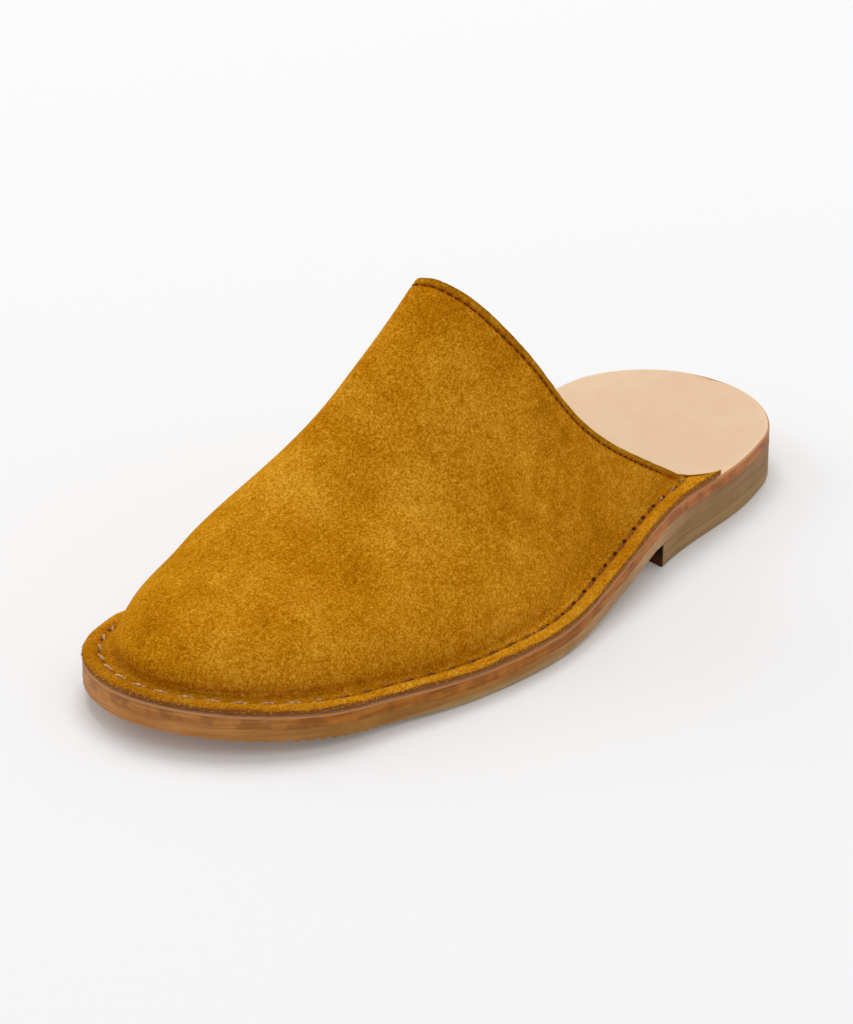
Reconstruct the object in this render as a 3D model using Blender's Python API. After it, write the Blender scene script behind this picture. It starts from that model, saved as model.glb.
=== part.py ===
# A backless leather slipper for the left foot: a suede upper turned outwards at its foot and stitched down
# over an insole, a rubber outsole and a low stacked heel.
# Metres, +Z up, toe towards -Y, outer side of the foot towards +X. The origin is on the floor, under the
# middle of the sole's outline. A share along the shoe runs from the back of the heel, 0, to the toe, 1.

import bmesh
import bpy
import numpy as np

# Sizes of the last and of the sole's outline
SOLE_LENGTH = 0.275
BALL_WIDTH = 0.104
HEEL_WIDTH = 0.0775
HEEL_ROUND = 0.030
TOE_ROUND = 0.042
HEEL_ROUND_FULLNESS = 2.2
TOE_ROUND_FULLNESS = 1.9

# Heights of the sole: the heel is what lifts the back, and the toe springs off the floor
HEEL_HEIGHT = 0.0083
TOE_SPRING = 0.0055
SPRING_CURVE = 1.65
HEEL_SEAT_END = 0.29
TREAD_START = 0.60
TREAD_END = 0.70

# Layers of the sole, each laid on the one below it with the same small gap
GAP = 0.0003
OUTSOLE_THICKNESS = 0.0040
INSOLE_THICKNESS = 0.0036
TOP_PIECE_THICKNESS = 0.0040
INSOLE_EDGE_ROUND = 0.0009
OUTSOLE_EDGE_ROUND = 0.0008
HEEL_EDGE_ROUND = 0.0006

# The heel's front face, its breast, is hollowed towards the back
BREAST_SHARE = 0.352
BREAST_HOLLOW = 0.005
BREAST_RUN = 0.025

# The upper: suede and lining together, turned out into a flange that the stitches go through
UPPER_WALL = 0.0022
FLANGE_THICKNESS = 0.0018
FLANGE_WIDTH_SIDE = 0.0070
FLANGE_WIDTH_TOE = 0.0085
FLANGE_TOE_RUN = 0.065
TAIL_LENGTH = 0.010
TAIL_TAPER = 0.55
INSTEP_HEIGHT = 0.080
TOE_BOX_ROUND = 0.029
TOE_BOX_FULLNESS = 2.05
COLLAR_APEX = 0.515
COLLAR_END_OUTER = 0.254
COLLAR_END_INNER = 0.268
COLLAR_SWEEP_OUTER = 2.0
COLLAR_SWEEP_INNER = 0.78
COLLAR_BOW = 0.07
COLLAR_BOW_REACH = 1.6

# How finely the curves are divided
SOLE_STATIONS = 48
HEEL_STATIONS = 22
HEEL_COLUMNS = 8
UPPER_STATIONS = 36
UPPER_TURNS = 12
TAIL_STATIONS = 3
TOE_CROWDING = 1.7
MERGE_DISTANCE = 1e-6
SMOOTH_ANGLE = np.radians(40)

# The sole's outline, heel to toe. The half width is the heel share of half the heel width plus the ball
# share of half the ball width, and the swing moves the middle outwards by its share of the ball width.
SOLE_COLUMNS = ("along", "heel", "ball", "swing")
SOLE_SECTIONS = np.array([
    (0.00, 0.78, 0.00, -0.117),
    (0.16, 1.00, 0.00, -0.065),
    (0.32, 0.96, 0.00, -0.003),
    (0.46, 0.51, 0.44, 0.026),
    (0.60, 0.00, 0.98, 0.010),
    (0.72, 0.00, 0.98, -0.016),
    (0.84, 0.00, 0.85, -0.037),
    (1.00, 0.00, 0.82, -0.089),
])

# The upper's sections, collar to toe. The rise of the ridge is a share of the instep height and its place
# a share of the ball width. The other columns are the fullness of each side, across and down.
UPPER_COLUMNS = ("along", "rise", "ridge", "outer_across", "outer_down", "inner_across", "inner_down")
UPPER_SECTIONS = np.array([
    (0.0, 1.000, -0.151, 2.50, 1.70, 2.07, 1.77),
    (0.2, 0.790, -0.155, 2.10, 1.74, 2.14, 1.84),
    (0.4, 0.570, -0.161, 1.76, 1.74, 2.21, 1.91),
    (0.6, 0.400, -0.175, 1.78, 1.84, 2.27, 1.95),
    (0.8, 0.275, -0.142, 2.06, 2.02, 2.34, 2.08),
    (1.0, 0.210, -0.090, 2.24, 2.09, 2.50, 2.25),
])

# Colour, roughness and metallic value of each material
MATERIALS = {
    "suede": ((0.46, 0.23, 0.02), 0.9, 0.0),
    "insole_leather": ((0.78, 0.60, 0.42), 0.55, 0.0),
    "outsole_rubber": ((0.30, 0.19, 0.10), 0.6, 0.0),
    "heel_leather": ((0.24, 0.17, 0.10), 0.55, 0.0),
    "top_piece_rubber": ((0.32, 0.18, 0.07), 0.6, 0.0),
}


def smooth(along, table, column, columns):
    """Value of one column of a table at each share along it, on a smooth curve through the rows."""
    knots = table[:, 0]
    values = table[:, columns.index(column)]
    slopes = np.gradient(values, knots)
    row = np.clip(np.searchsorted(knots, along, side="right") - 1, 0, len(knots) - 2)
    span = knots[row + 1] - knots[row]
    t = (along - knots[row]) / span
    start = (1 + 2 * t) * (1 - t) ** 2 * values[row] + t * (1 - t) ** 2 * span * slopes[row]
    end = t * t * (3 - 2 * t) * values[row + 1] + t * t * (t - 1) * span * slopes[row + 1]
    return start + end


def ease(t):
    """Soft step from 0 to 1."""
    t = np.clip(t, 0.0, 1.0)
    return t * t * (3 - 2 * t)


def rounded(share, fullness):
    """Quarter of a full oval: 0 at its end, 1 where it has become the straight side."""
    return (1 - np.clip(1 - share, 0.0, 1.0) ** fullness) ** (1 / fullness)


def raw_edge(share, side_inset, toe_inset):
    """Outer x, inner x and y of the sole's outline, drawn in by an inset, at each share of its length."""
    share = np.asarray(share, dtype=float)
    length = SOLE_LENGTH - side_inset - toe_inset
    y = SOLE_LENGTH / 2 - side_inset - share * length
    inset = side_inset + (toe_inset - side_inset) * ease(1 - (1 - share) * length / FLANGE_TOE_RUN)
    along = 0.5 - y / SOLE_LENGTH
    half = smooth(along, SOLE_SECTIONS, "heel", SOLE_COLUMNS) * HEEL_WIDTH / 2
    half = half + smooth(along, SOLE_SECTIONS, "ball", SOLE_COLUMNS) * BALL_WIDTH / 2 - inset
    half = half * rounded(share * SOLE_LENGTH / HEEL_ROUND, HEEL_ROUND_FULLNESS)
    half = half * rounded((1 - share) * SOLE_LENGTH / TOE_ROUND, TOE_ROUND_FULLNESS)
    swing = smooth(along, SOLE_SECTIONS, "swing", SOLE_COLUMNS) * BALL_WIDTH
    return swing + half, swing - half, y


def spaced(count):
    """Shares from 0 to 1, closer together at both ends."""
    return (1 - np.cos(np.linspace(0, np.pi, count))) / 2


WIDEST_OUTER, WIDEST_INNER, _ = raw_edge(spaced(SOLE_STATIONS + 1), 0.0, 0.0)
MIDDLE_X = (WIDEST_OUTER.max() + WIDEST_INNER.min()) / 2


def edge(share, side_inset=0.0, toe_inset=None):
    """The sole's outline as raw_edge gives it, moved so that its box is centred on the origin."""
    outer, inner, y = raw_edge(share, side_inset, side_inset if toe_inset is None else toe_inset)
    return outer - MIDDLE_X, inner - MIDDLE_X, y


def underside(y):
    """Height of the outsole's underside: up over the heel, flat at the tread, up again at the toe."""
    along = 0.5 - y / SOLE_LENGTH
    lift = HEEL_HEIGHT * (1 - ease((along - HEEL_SEAT_END) / (TREAD_START - HEEL_SEAT_END)))
    spring = np.clip((along - TREAD_END) / (1 - TREAD_END), 0.0, 1.0) ** SPRING_CURVE
    return lift + TOE_SPRING * spring


def level(height):
    """Height function of a surface that lies this far above the outsole's underside."""
    return lambda y: underside(y) + height


def floor(height):
    """Height function of a flat surface this far above the floor."""
    return lambda y: np.full_like(y, height)


OUTSOLE_TOP = OUTSOLE_THICKNESS
INSOLE_BOTTOM = OUTSOLE_TOP + GAP
INSOLE_TOP = INSOLE_BOTTOM + INSOLE_THICKNESS
FLANGE_BOTTOM = INSOLE_TOP + GAP
FLANGE_TOP = FLANGE_BOTTOM + FLANGE_THICKNESS


def add_object(name, points, faces, material):
    """One closed solid from points and faces, with doubled points merged and its faces turned outwards."""
    mesh = bpy.data.meshes.new(name)
    bm = bmesh.new()
    verts = [bm.verts.new(point) for point in points]
    for face in faces:
        bm.faces.new([verts[i] for i in face])
    bmesh.ops.remove_doubles(bm, verts=bm.verts, dist=MERGE_DISTANCE)
    bmesh.ops.triangulate(bm, faces=bm.faces)
    bmesh.ops.recalc_face_normals(bm, faces=bm.faces)
    if bm.calc_volume(signed=True) < 0:
        bmesh.ops.reverse_faces(bm, faces=bm.faces)
    bm.to_mesh(mesh)
    bm.free()
    mesh.shade_smooth()
    mesh.set_sharp_from_angle(angle=SMOOTH_ANGLE)
    mesh.materials.append(material)
    obj = bpy.data.objects.new(name, mesh)
    bpy.context.collection.objects.link(obj)
    return obj


def add_material(name):
    """A plain Principled material in the photo's colour."""
    colour, roughness, metallic = MATERIALS[name]
    material = bpy.data.materials.new(name)
    material.use_nodes = True
    shader = material.node_tree.nodes["Principled BSDF"]
    shader.inputs["Base Color"].default_value = (*colour, 1.0)
    shader.inputs["Roughness"].default_value = roughness
    shader.inputs["Metallic"].default_value = metallic
    return material


def add_sole_layer(name, rings, material):
    """A layer with the whole outline. Each ring, bottom to top, is an inset and a height function."""
    shares = spaced(SOLE_STATIONS + 1)
    last = SOLE_STATIONS
    points = []
    for inset, height in rings:
        outer, inner, y = edge(shares, inset)
        z = height(y)
        points += list(zip(outer, y, z)) + list(zip(inner, y, z))
    per_ring = 2 * (last + 1)

    def outer_at(ring, k):
        return ring * per_ring + k

    def inner_at(ring, k):
        # Both sides share the points at the back of the heel and at the toe
        return outer_at(ring, k) if k in (0, last) else ring * per_ring + last + 1 + k

    faces = []
    for k in range(last):
        for ring in range(len(rings) - 1):
            for at in (outer_at, inner_at):
                faces.append((at(ring, k), at(ring, k + 1), at(ring + 1, k + 1), at(ring + 1, k)))
        for ring in (0, len(rings) - 1):
            corners = [outer_at(ring, k), outer_at(ring, k + 1), inner_at(ring, k + 1), inner_at(ring, k)]
            faces.append(tuple(dict.fromkeys(corners)))
    return add_object(name, points, faces, material)


def add_heel_layer(name, rings, material):
    """A layer of the heel: the outline as far as the breast, whose middle is hollowed towards the back."""
    shares = BREAST_SHARE * (1 - np.cos(np.linspace(0, np.pi / 2, HEEL_STATIONS + 1)))
    across = np.linspace(0.0, 1.0, HEEL_COLUMNS + 1)
    near_breast = np.clip(1 - (BREAST_SHARE - shares) * SOLE_LENGTH / BREAST_RUN, 0.0, 1.0)
    rows = []
    for inset, height in rings:
        outer, inner, y = edge(shares, inset)
        x = outer[:, None] + (inner - outer)[:, None] * across[None]
        hollow = BREAST_HOLLOW * near_breast[:, None] * 4 * across[None] * (1 - across[None])
        y = y[:, None] + hollow
        rows.append(np.stack([x, y, height(y)], axis=-1))
    grids = np.array(rows)
    points = grids.reshape(-1, 3)
    width = HEEL_COLUMNS + 1
    per_ring = (HEEL_STATIONS + 1) * width

    def at(ring, k, c):
        return ring * per_ring + k * width + c

    faces = []
    rim = [(k, c, k + 1, c) for k in range(HEEL_STATIONS) for c in (0, HEEL_COLUMNS)]
    rim += [(HEEL_STATIONS, c, HEEL_STATIONS, c + 1) for c in range(HEEL_COLUMNS)]
    for ring in range(len(rings) - 1):
        for k, c, next_k, next_c in rim:
            low = (at(ring, k, c), at(ring, next_k, next_c))
            high = (at(ring + 1, next_k, next_c), at(ring + 1, k, c))
            faces.append(low + high)
    for ring in (0, len(rings) - 1):
        for k in range(HEEL_STATIONS):
            for c in range(HEEL_COLUMNS):
                faces.append((at(ring, k, c), at(ring, k + 1, c), at(ring, k + 1, c + 1), at(ring, k, c + 1)))
    return add_object(name, points, faces, material)


def collar_end(side):
    """Share of the feather line, where upper meets flange, at which the collar of a side ends."""
    return COLLAR_END_OUTER if side > 0 else COLLAR_END_INNER


def feather_edge(share, side):
    """x and y of the feather line of one side: outer +1, inner -1."""
    outer, inner, y = edge(share, FLANGE_WIDTH_SIDE, FLANGE_WIDTH_TOE)
    return (outer if side > 0 else inner), y


def skin(along, turn, side):
    """Points of the upper's outside, from the ridge (turn 0) down one side to the feather line."""
    s = np.asarray(along)[:, None]
    turn = np.asarray(turn)[None]
    end = collar_end(side)
    foot_x, foot_y = feather_edge(end + (1 - end) * s, side)
    toe_x, toe_y = feather_edge(1.0, side)
    apex_y = SOLE_LENGTH * (0.5 - COLLAR_APEX)
    ridge_y = apex_y + (toe_y - apex_y) * s
    rise = INSTEP_HEIGHT * smooth(s, UPPER_SECTIONS, "rise", UPPER_COLUMNS)
    rise = rise * rounded((ridge_y - toe_y) / TOE_BOX_ROUND, TOE_BOX_FULLNESS)
    ridge_x = BALL_WIDTH * smooth(s, UPPER_SECTIONS, "ridge", UPPER_COLUMNS)
    ridge_x = ridge_x + (toe_x - ridge_x) * ease(1 - (ridge_y - toe_y) / TOE_BOX_ROUND)
    name = "outer" if side > 0 else "inner"
    across = np.sin(turn) ** (2 / smooth(s, UPPER_SECTIONS, name + "_across", UPPER_COLUMNS))
    down = np.clip(np.cos(turn), 0, 1) ** (2 / smooth(s, UPPER_SECTIONS, name + "_down", UPPER_COLUMNS))
    near_collar = (1 - s) ** 2
    sweep = COLLAR_SWEEP_OUTER if side > 0 else COLLAR_SWEEP_INNER
    back = (1 - down) ** (1 + (sweep - 1) * near_collar)
    if side > 0:
        bow = np.sin(np.pi * np.clip(COLLAR_BOW_REACH * (1 - down), 0, 1))
        back = back + COLLAR_BOW * near_collar * bow
    x = ridge_x + (foot_x - ridge_x) * across
    y = ridge_y + (foot_y - ridge_y) * back
    ridge_z = level(FLANGE_TOP)(ridge_y) + rise
    foot_z = level(FLANGE_TOP)(foot_y)
    return np.stack([x, y, foot_z + (ridge_z - foot_z) * down], axis=-1)


def upper_grids():
    """The upper's outside and inside as grids of points, from the inner side over the ridge to the outer."""
    along = 1 - (1 - np.linspace(0, 1, UPPER_STATIONS + 1)) ** TOE_CROWDING
    turn = np.linspace(0, np.pi / 2, UPPER_TURNS + 1)
    inner_side = skin(along, turn, -1)[:, :0:-1]
    outside = np.concatenate([inner_side, skin(along, turn, 1)], axis=1)
    normal = np.cross(np.gradient(outside, axis=0), np.gradient(outside, axis=1))
    normal[-1] = (0, -1, 0)
    # At the feather line the wall is measured level
    normal[:, (0, -1), 2] = 0
    normal /= np.linalg.norm(normal, axis=2, keepdims=True)
    inside = outside - normal * UPPER_WALL
    return along, outside, inside


def add_upper(material):
    """One hollow skin from collar to toe, its flange turned out over the insole, and its two tails."""
    along, outside, inside = upper_grids()
    stations = len(along)
    width = outside.shape[1]
    points = list(outside.reshape(-1, 3)) + list(inside.reshape(-1, 3))

    def skin_at(i, j):
        return i * width + j

    def lining_at(i, j):
        return stations * width + i * width + j

    faces = []
    for i in range(stations - 1):
        for j in range(width - 1):
            for at in (skin_at, lining_at):
                faces.append((at(i, j), at(i + 1, j), at(i + 1, j + 1), at(i, j + 1)))
    for j in range(width - 1):
        faces.append((skin_at(0, j), skin_at(0, j + 1), lining_at(0, j + 1), lining_at(0, j)))

    def add_point(x, y, z):
        points.append((x, y, z))
        return len(points) - 1

    for side in (1, -1):
        column = width - 1 if side > 0 else 0
        end = collar_end(side)
        ring = []
        for i in range(stations):
            outer, inner, y = edge(end + (1 - end) * along[i])
            rim_x = outer if side > 0 else inner
            lining_x, lining_y, _ = inside[i, column]
            ring.append((
                skin_at(i, column),
                add_point(rim_x, y, level(FLANGE_TOP)(y)),
                add_point(rim_x, y, level(FLANGE_BOTTOM)(y)),
                add_point(lining_x, lining_y, level(FLANGE_BOTTOM)(lining_y)),
                lining_at(i, column),
            ))
        for a, b in zip(ring[:-1], ring[1:]):
            for k in range(4):
                faces.append((a[k], a[k + 1], b[k + 1], b[k]))
        add_tail(side, end, ring[0], inside[0, column], outside[0, column], add_point, faces)
    return add_object("upper", points, faces, material)


def add_tail(side, end, first, lining_foot, skin_foot, add_point, faces):
    """The flange's tail behind the collar, which tapers towards the sole's edge and ends in a cut."""
    previous = first
    for k in range(1, TAIL_STATIONS + 1):
        t = k / TAIL_STATIONS
        share = end - t * TAIL_LENGTH / SOLE_LENGTH
        outer, inner, y = edge(share)
        rim_x = outer if side > 0 else inner
        keep = 1 - (1 - TAIL_TAPER) * t
        first_rim_x = edge(end)[0 if side > 0 else 1]
        skin_x = rim_x + (skin_foot[0] - first_rim_x) * keep
        lining_x = rim_x + (lining_foot[0] - first_rim_x) * keep
        back = t * TAIL_LENGTH
        skin_y = skin_foot[1] + back
        lining_y = lining_foot[1] + back
        ring = (
            add_point(skin_x, skin_y, level(FLANGE_TOP)(skin_y)),
            add_point(rim_x, y, level(FLANGE_TOP)(y)),
            add_point(rim_x, y, level(FLANGE_BOTTOM)(y)),
            add_point(lining_x, lining_y, level(FLANGE_BOTTOM)(lining_y)),
            add_point(lining_x, lining_y, level(FLANGE_TOP)(lining_y)),
        )
        for j in range(5):
            n = (j + 1) % 5
            faces.append((previous[j], previous[n], ring[n], ring[j]))
        previous = ring
    faces.append(previous)


def main():
    for obj in list(bpy.data.objects):
        bpy.data.objects.remove(obj)
    materials = {name: add_material(name) for name in MATERIALS}

    round_out = OUTSOLE_EDGE_ROUND
    add_sole_layer("outsole", [
        (round_out, level(0.0)),
        (0.0, level(round_out)),
        (0.0, level(OUTSOLE_TOP)),
    ], materials["outsole_rubber"])

    round_in = INSOLE_EDGE_ROUND
    shoulder = round_in * (1 - np.sqrt(0.5))
    add_sole_layer("insole", [
        (0.0, level(INSOLE_BOTTOM)),
        (0.0, level(INSOLE_TOP - round_in)),
        (shoulder, level(INSOLE_TOP - shoulder)),
        (round_in, level(INSOLE_TOP)),
    ], materials["insole_leather"])

    round_heel = HEEL_EDGE_ROUND
    add_heel_layer("heel_top_piece", [
        (round_heel, floor(0.0)),
        (0.0, floor(round_heel)),
        (0.0, floor(TOP_PIECE_THICKNESS)),
    ], materials["top_piece_rubber"])
    add_heel_layer("heel_lift", [
        (0.0, floor(TOP_PIECE_THICKNESS + GAP)),
        (0.0, level(-GAP)),
    ], materials["heel_leather"])

    add_upper(materials["suede"])


main()
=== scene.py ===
"""Looks of a backless suede slipper: the surfaces, seams, edges and finishes that dress its plain solids.

Metres, +Z up, toe towards -Y, outer side of the left foot towards +X. A share along the shoe runs from the
back of the heel, 0, to the toe, 1, and one along the upper from its collar, 0, to the toe, 1.
"""

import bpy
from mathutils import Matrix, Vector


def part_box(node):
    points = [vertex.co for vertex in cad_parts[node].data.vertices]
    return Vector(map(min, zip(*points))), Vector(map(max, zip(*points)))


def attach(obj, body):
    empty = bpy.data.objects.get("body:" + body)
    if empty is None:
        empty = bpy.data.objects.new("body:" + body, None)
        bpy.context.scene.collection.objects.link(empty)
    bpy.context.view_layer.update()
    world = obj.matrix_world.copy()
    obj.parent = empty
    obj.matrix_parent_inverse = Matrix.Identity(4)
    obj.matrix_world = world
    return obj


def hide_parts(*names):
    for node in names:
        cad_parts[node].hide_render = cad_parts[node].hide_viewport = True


bl_info = {
    "name": "Backless suede slipper",
    "version": (1, 0, 0),
    "blender": (4, 5, 0),
    "location": "3D View > Sidebar > Slipper",
    "description": "Dresses the solids of a stitched down suede slipper",
    "category": "Object",
}

import bmesh
import bpy
import numpy as np
from mathutils import Vector

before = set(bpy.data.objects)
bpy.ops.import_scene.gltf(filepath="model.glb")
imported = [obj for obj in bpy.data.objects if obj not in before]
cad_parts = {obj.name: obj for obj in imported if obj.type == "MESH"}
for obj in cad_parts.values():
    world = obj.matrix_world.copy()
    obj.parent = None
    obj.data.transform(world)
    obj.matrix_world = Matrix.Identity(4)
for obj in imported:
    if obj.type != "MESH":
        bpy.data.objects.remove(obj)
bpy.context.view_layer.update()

# Sizes of the last and of the sole, as the solids have them
SOLE_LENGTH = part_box("outsole")[1].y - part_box("outsole")[0].y
BALL_WIDTH = 0.104
HEEL_WIDTH = 0.0775
HEEL_ROUND = 0.030
TOE_ROUND = 0.042
HEEL_ROUND_FULLNESS = 2.2
TOE_ROUND_FULLNESS = 1.9
HEEL_HEIGHT = 0.0083
TOE_SPRING = 0.0055
SPRING_CURVE = 1.65
HEEL_SEAT_END = 0.29
TREAD_START = 0.60
TREAD_END = 0.70
GAP = 0.0003
OUTSOLE_THICKNESS = 0.0040
INSOLE_THICKNESS = 0.0036
UPPER_WALL = 0.0022
FLANGE_THICKNESS = 0.0018
FLANGE_WIDTH_SIDE = 0.0070
FLANGE_WIDTH_TOE = 0.0085
FLANGE_TOE_RUN = 0.065
TAIL_LENGTH = 0.010
INSTEP_HEIGHT = 0.080
TOE_BOX_ROUND = 0.029
TOE_BOX_FULLNESS = 2.05
COLLAR_APEX = 0.515
COLLAR_END = {1: 0.254, -1: 0.268}
COLLAR_SWEEP = {1: 2.0, -1: 0.78}
COLLAR_BOW = 0.07
COLLAR_BOW_REACH = 1.6
SIDE_NAMES = {1: "outer", -1: "inner"}


def columns(names, rows):
    """A short table as one array for each of its named columns."""
    return dict(zip(names, np.array(rows, dtype=float).T))


SOLE_SECTIONS = columns(("along", "heel", "ball", "swing"), [
    (0.00, 0.78, 0.00, -0.117),
    (0.16, 1.00, 0.00, -0.065),
    (0.32, 0.96, 0.00, -0.003),
    (0.46, 0.51, 0.44, 0.026),
    (0.60, 0.00, 0.98, 0.010),
    (0.72, 0.00, 0.98, -0.016),
    (0.84, 0.00, 0.85, -0.037),
    (1.00, 0.00, 0.82, -0.089),
])
UPPER_SECTIONS = columns(
    ("along", "rise", "ridge", "outer_across", "outer_down", "inner_across", "inner_down"), [
        (0.0, 1.000, -0.151, 2.50, 1.70, 2.07, 1.77),
        (0.2, 0.790, -0.155, 2.10, 1.74, 2.14, 1.84),
        (0.4, 0.570, -0.161, 1.76, 1.74, 2.21, 1.91),
        (0.6, 0.400, -0.175, 1.78, 1.84, 2.27, 1.95),
        (0.8, 0.275, -0.142, 2.06, 2.02, 2.34, 2.08),
        (1.0, 0.210, -0.090, 2.24, 2.09, 2.50, 2.25),
    ])

# Soft folds of the suede. Each runs from one place on the upper to another, given by the share from collar
# to toe and the share from ridge to feather line. Width and depth are shares of the instep height; a
# trough's depth is positive and a ridge's is negative.
FOLDS = columns(("side", "along", "down", "to_along", "to_down", "width", "depth"), [
    (1, 0.045, 0.59, 0.290, 0.715, 0.045, 0.0110),
    (1, 0.060, 0.66, 0.270, 0.770, 0.040, 0.0090),
    (1, 0.200, 0.62, 0.380, 0.760, 0.050, -0.0060),
    (1, 0.030, 0.63, 0.250, 0.740, 0.030, -0.0055),
    (1, 0.220, 0.90, 0.360, 0.950, 0.090, 0.0080),
    (1, 0.480, 0.30, 0.640, 0.420, 0.120, 0.0090),
    (1, 0.700, 0.35, 0.790, 0.620, 0.090, -0.0050),
    (1, 0.840, 0.30, 0.900, 0.700, 0.080, 0.0050),
    (1, 0.300, 0.15, 0.420, 0.250, 0.130, 0.0080),
    (-1, 0.060, 0.45, 0.300, 0.700, 0.120, 0.0140),
    (-1, 0.250, 0.62, 0.460, 0.850, 0.070, 0.0100),
    (-1, 0.380, 0.40, 0.560, 0.640, 0.080, -0.0060),
    (-1, 0.650, 0.30, 0.780, 0.600, 0.080, 0.0050),
])

# Patches where the suede is painted lighter, above 0, or darker, below 0: partly the nap's own mottling, partly
# painted light and shade. Each has its place as the folds have, and its reach as a share of the instep height.
NAP_LIGHT_AND_SHADE_PATCHES = columns(("side", "along", "down", "reach", "tone"), [
    (1, 0.588, 0.58, 0.20, 0.30),
    (1, 0.700, 0.42, 0.26, -0.70),
    (1, 0.438, 0.42, 0.22, 1.20),
    (1, 0.062, 0.10, 0.11, -0.80),
    (1, 0.372, 0.21, 0.15, -0.35),
    (1, 0.250, 0.35, 0.20, 0.75),
    (1, 0.140, 0.60, 0.22, 0.95),
    (1, 0.070, 0.90, 0.14, 0.80),
    # Painted shade over the top of the toe
    (1, 0.945, 0.06, 0.24, -0.90),
    # Painted light on the outer toe wall
    (1, 0.905, 0.73, 0.24, 0.90),
    (-1, 0.147, 0.02, 0.10, 0.50),
    (-1, 0.500, 0.03, 0.19, 1.40),
    # Painted highlight along the inner toe wall
    (-1, 0.910, 0.72, 0.13, 1.00),
])

# Painted shade: how much darker the nap is painted at the bottom of a trough, with painted light on a fold's ridge,
# for a depth of one instep height
CREASE_SHADE = 75.0

# The collar's line is softened where it bends, and let out by these lengths at shares from ridge to feather line
COLLAR_REACH = 0.30
COLLAR_BEND = 0.69
COLLAR_BEND_WIDTH = 0.20
COLLAR_SOFTENING = 60
LET_OUT_REACH = 0.14
LET_OUT = columns(("along", "outer", "inner"), [
    (0.00, -0.00050, -0.00050),
    (0.03, 0.00020, -0.00090),
    (0.07, 0.00040, -0.00120),
    (0.10, 0.00040, -0.00120),
    (0.20, 0.00072, -0.00090),
    (0.35, 0.00080, 0.00000),
    (0.50, 0.00070, 0.00040),
    (0.60, -0.00005, 0.00030),
    (0.68, -0.00035, 0.00020),
    (0.78, 0.00010, 0.00010),
    (0.88, 0.00100, 0.00000),
    (0.94, 0.00090, 0.00000),
    (1.00, 0.00000, 0.00000),
])

# How strongly the collar's edge rolls in, at shares from ridge to feather line: most of all over the ridge
COLLAR_ROLL = columns(("along", "outer", "inner"), [
    (0.00, 1.7, 1.7),
    (0.04, 1.0, 1.7),
    (0.10, 0.8, 1.5),
    (0.25, 1.0, 1.0),
    (1.00, 1.0, 1.0),
])

# Low down, the collar's seam runs nearer to its edge by this share
COLLAR_NARROWING = 0.24

# The toe swells out just above its flange
TOE_SWELL_HEIGHT = 0.0042
TOE_SWELL_REACH = 0.0032

# The tails of the flange stop a little short of the solid's and narrow to a point
TAIL_SHARE = 0.78
TAIL_TAPER = 0.09

# The flange's seam turns in to the collar's ends over this share of the way to the toe
SEAM_TURN = 0.045
SEAM_END_INSET = 0.0066

# The heel's breast, as the solids have it
TOP_PIECE_THICKNESS = 0.0040
BREAST_SHARE = 0.352
BREAST_HOLLOW = 0.005
BREAST_RUN = 0.025

# How finely the surfaces are divided
COLLAR_STATIONS = 16
COLLAR_ZONE = 0.032
UPPER_STATIONS = 190
UPPER_TURNS = 72
TOE_CROWDING = 1.7
FLANGE_COLUMNS = 26
TAIL_STATIONS = 12
SOLE_STATIONS = 200
SOLE_COLUMNS = 26
HEEL_STATIONS = 70
HEEL_COLUMNS = 24
EDGE_STEPS = 6
EDGE_STEP = 0.001
OUTLINE_POINTS = 500
FOLD_POINTS = 24
SEAM_POINTS = 1600
MERGE_DISTANCE = 2e-5
SMOOTH_ANGLE = np.radians(50)

INSOLE_TOP = OUTSOLE_THICKNESS + GAP + INSOLE_THICKNESS
FLANGE_BOTTOM = INSOLE_TOP + GAP
FLANGE_TOP = FLANGE_BOTTOM + FLANGE_THICKNESS


def smooth(along, table, column):
    """Value of a column at each share along it, on a smooth curve through the table's rows."""
    knots, values = table["along"], table[column]
    slopes = np.gradient(values, knots)
    row = np.clip(np.searchsorted(knots, along, side="right") - 1, 0, len(knots) - 2)
    span = knots[row + 1] - knots[row]
    t = (along - knots[row]) / span
    start = (1 + 2 * t) * (1 - t) ** 2 * values[row] + t * (1 - t) ** 2 * span * slopes[row]
    end = t * t * (3 - 2 * t) * values[row + 1] + t * t * (t - 1) * span * slopes[row + 1]
    return start + end


def ease(t):
    """Soft step from 0 to 1."""
    t = np.clip(t, 0.0, 1.0)
    return t * t * (3 - 2 * t)


def bell(distance, width):
    """Soft hump: 1 at distance 0, gone at about twice the width."""
    return np.exp(-(distance / width) ** 2)


def rounded(share, fullness):
    """Quarter of a full oval: 0 at its end, 1 where it has become the straight side."""
    return (1 - np.clip(1 - share, 0.0, 1.0) ** fullness) ** (1 / fullness)


def spaced(count):
    """Shares from 0 to 1, closer together at both ends."""
    return (1 - np.cos(np.linspace(0, np.pi, count))) / 2


def raw_edge(share, side_inset, toe_inset):
    """Outer x, inner x and y of the sole's outline, drawn in by an inset, at each share of its length."""
    share = np.asarray(share, dtype=float)
    length = SOLE_LENGTH - side_inset - toe_inset
    y = SOLE_LENGTH / 2 - side_inset - share * length
    inset = side_inset + (toe_inset - side_inset) * ease(1 - (1 - share) * length / FLANGE_TOE_RUN)
    along = 0.5 - y / SOLE_LENGTH
    half = smooth(along, SOLE_SECTIONS, "heel") * HEEL_WIDTH / 2
    half = half + smooth(along, SOLE_SECTIONS, "ball") * BALL_WIDTH / 2 - inset
    half = half * rounded(share * SOLE_LENGTH / HEEL_ROUND, HEEL_ROUND_FULLNESS)
    half = half * rounded((1 - share) * SOLE_LENGTH / TOE_ROUND, TOE_ROUND_FULLNESS)
    swing = smooth(along, SOLE_SECTIONS, "swing") * BALL_WIDTH
    return swing + half, swing - half, y


WIDEST_OUTER, WIDEST_INNER, _ = raw_edge(spaced(SOLE_STATIONS + 1), 0.0, 0.0)
MIDDLE_X = (WIDEST_OUTER.max() + WIDEST_INNER.min()) / 2


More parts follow.
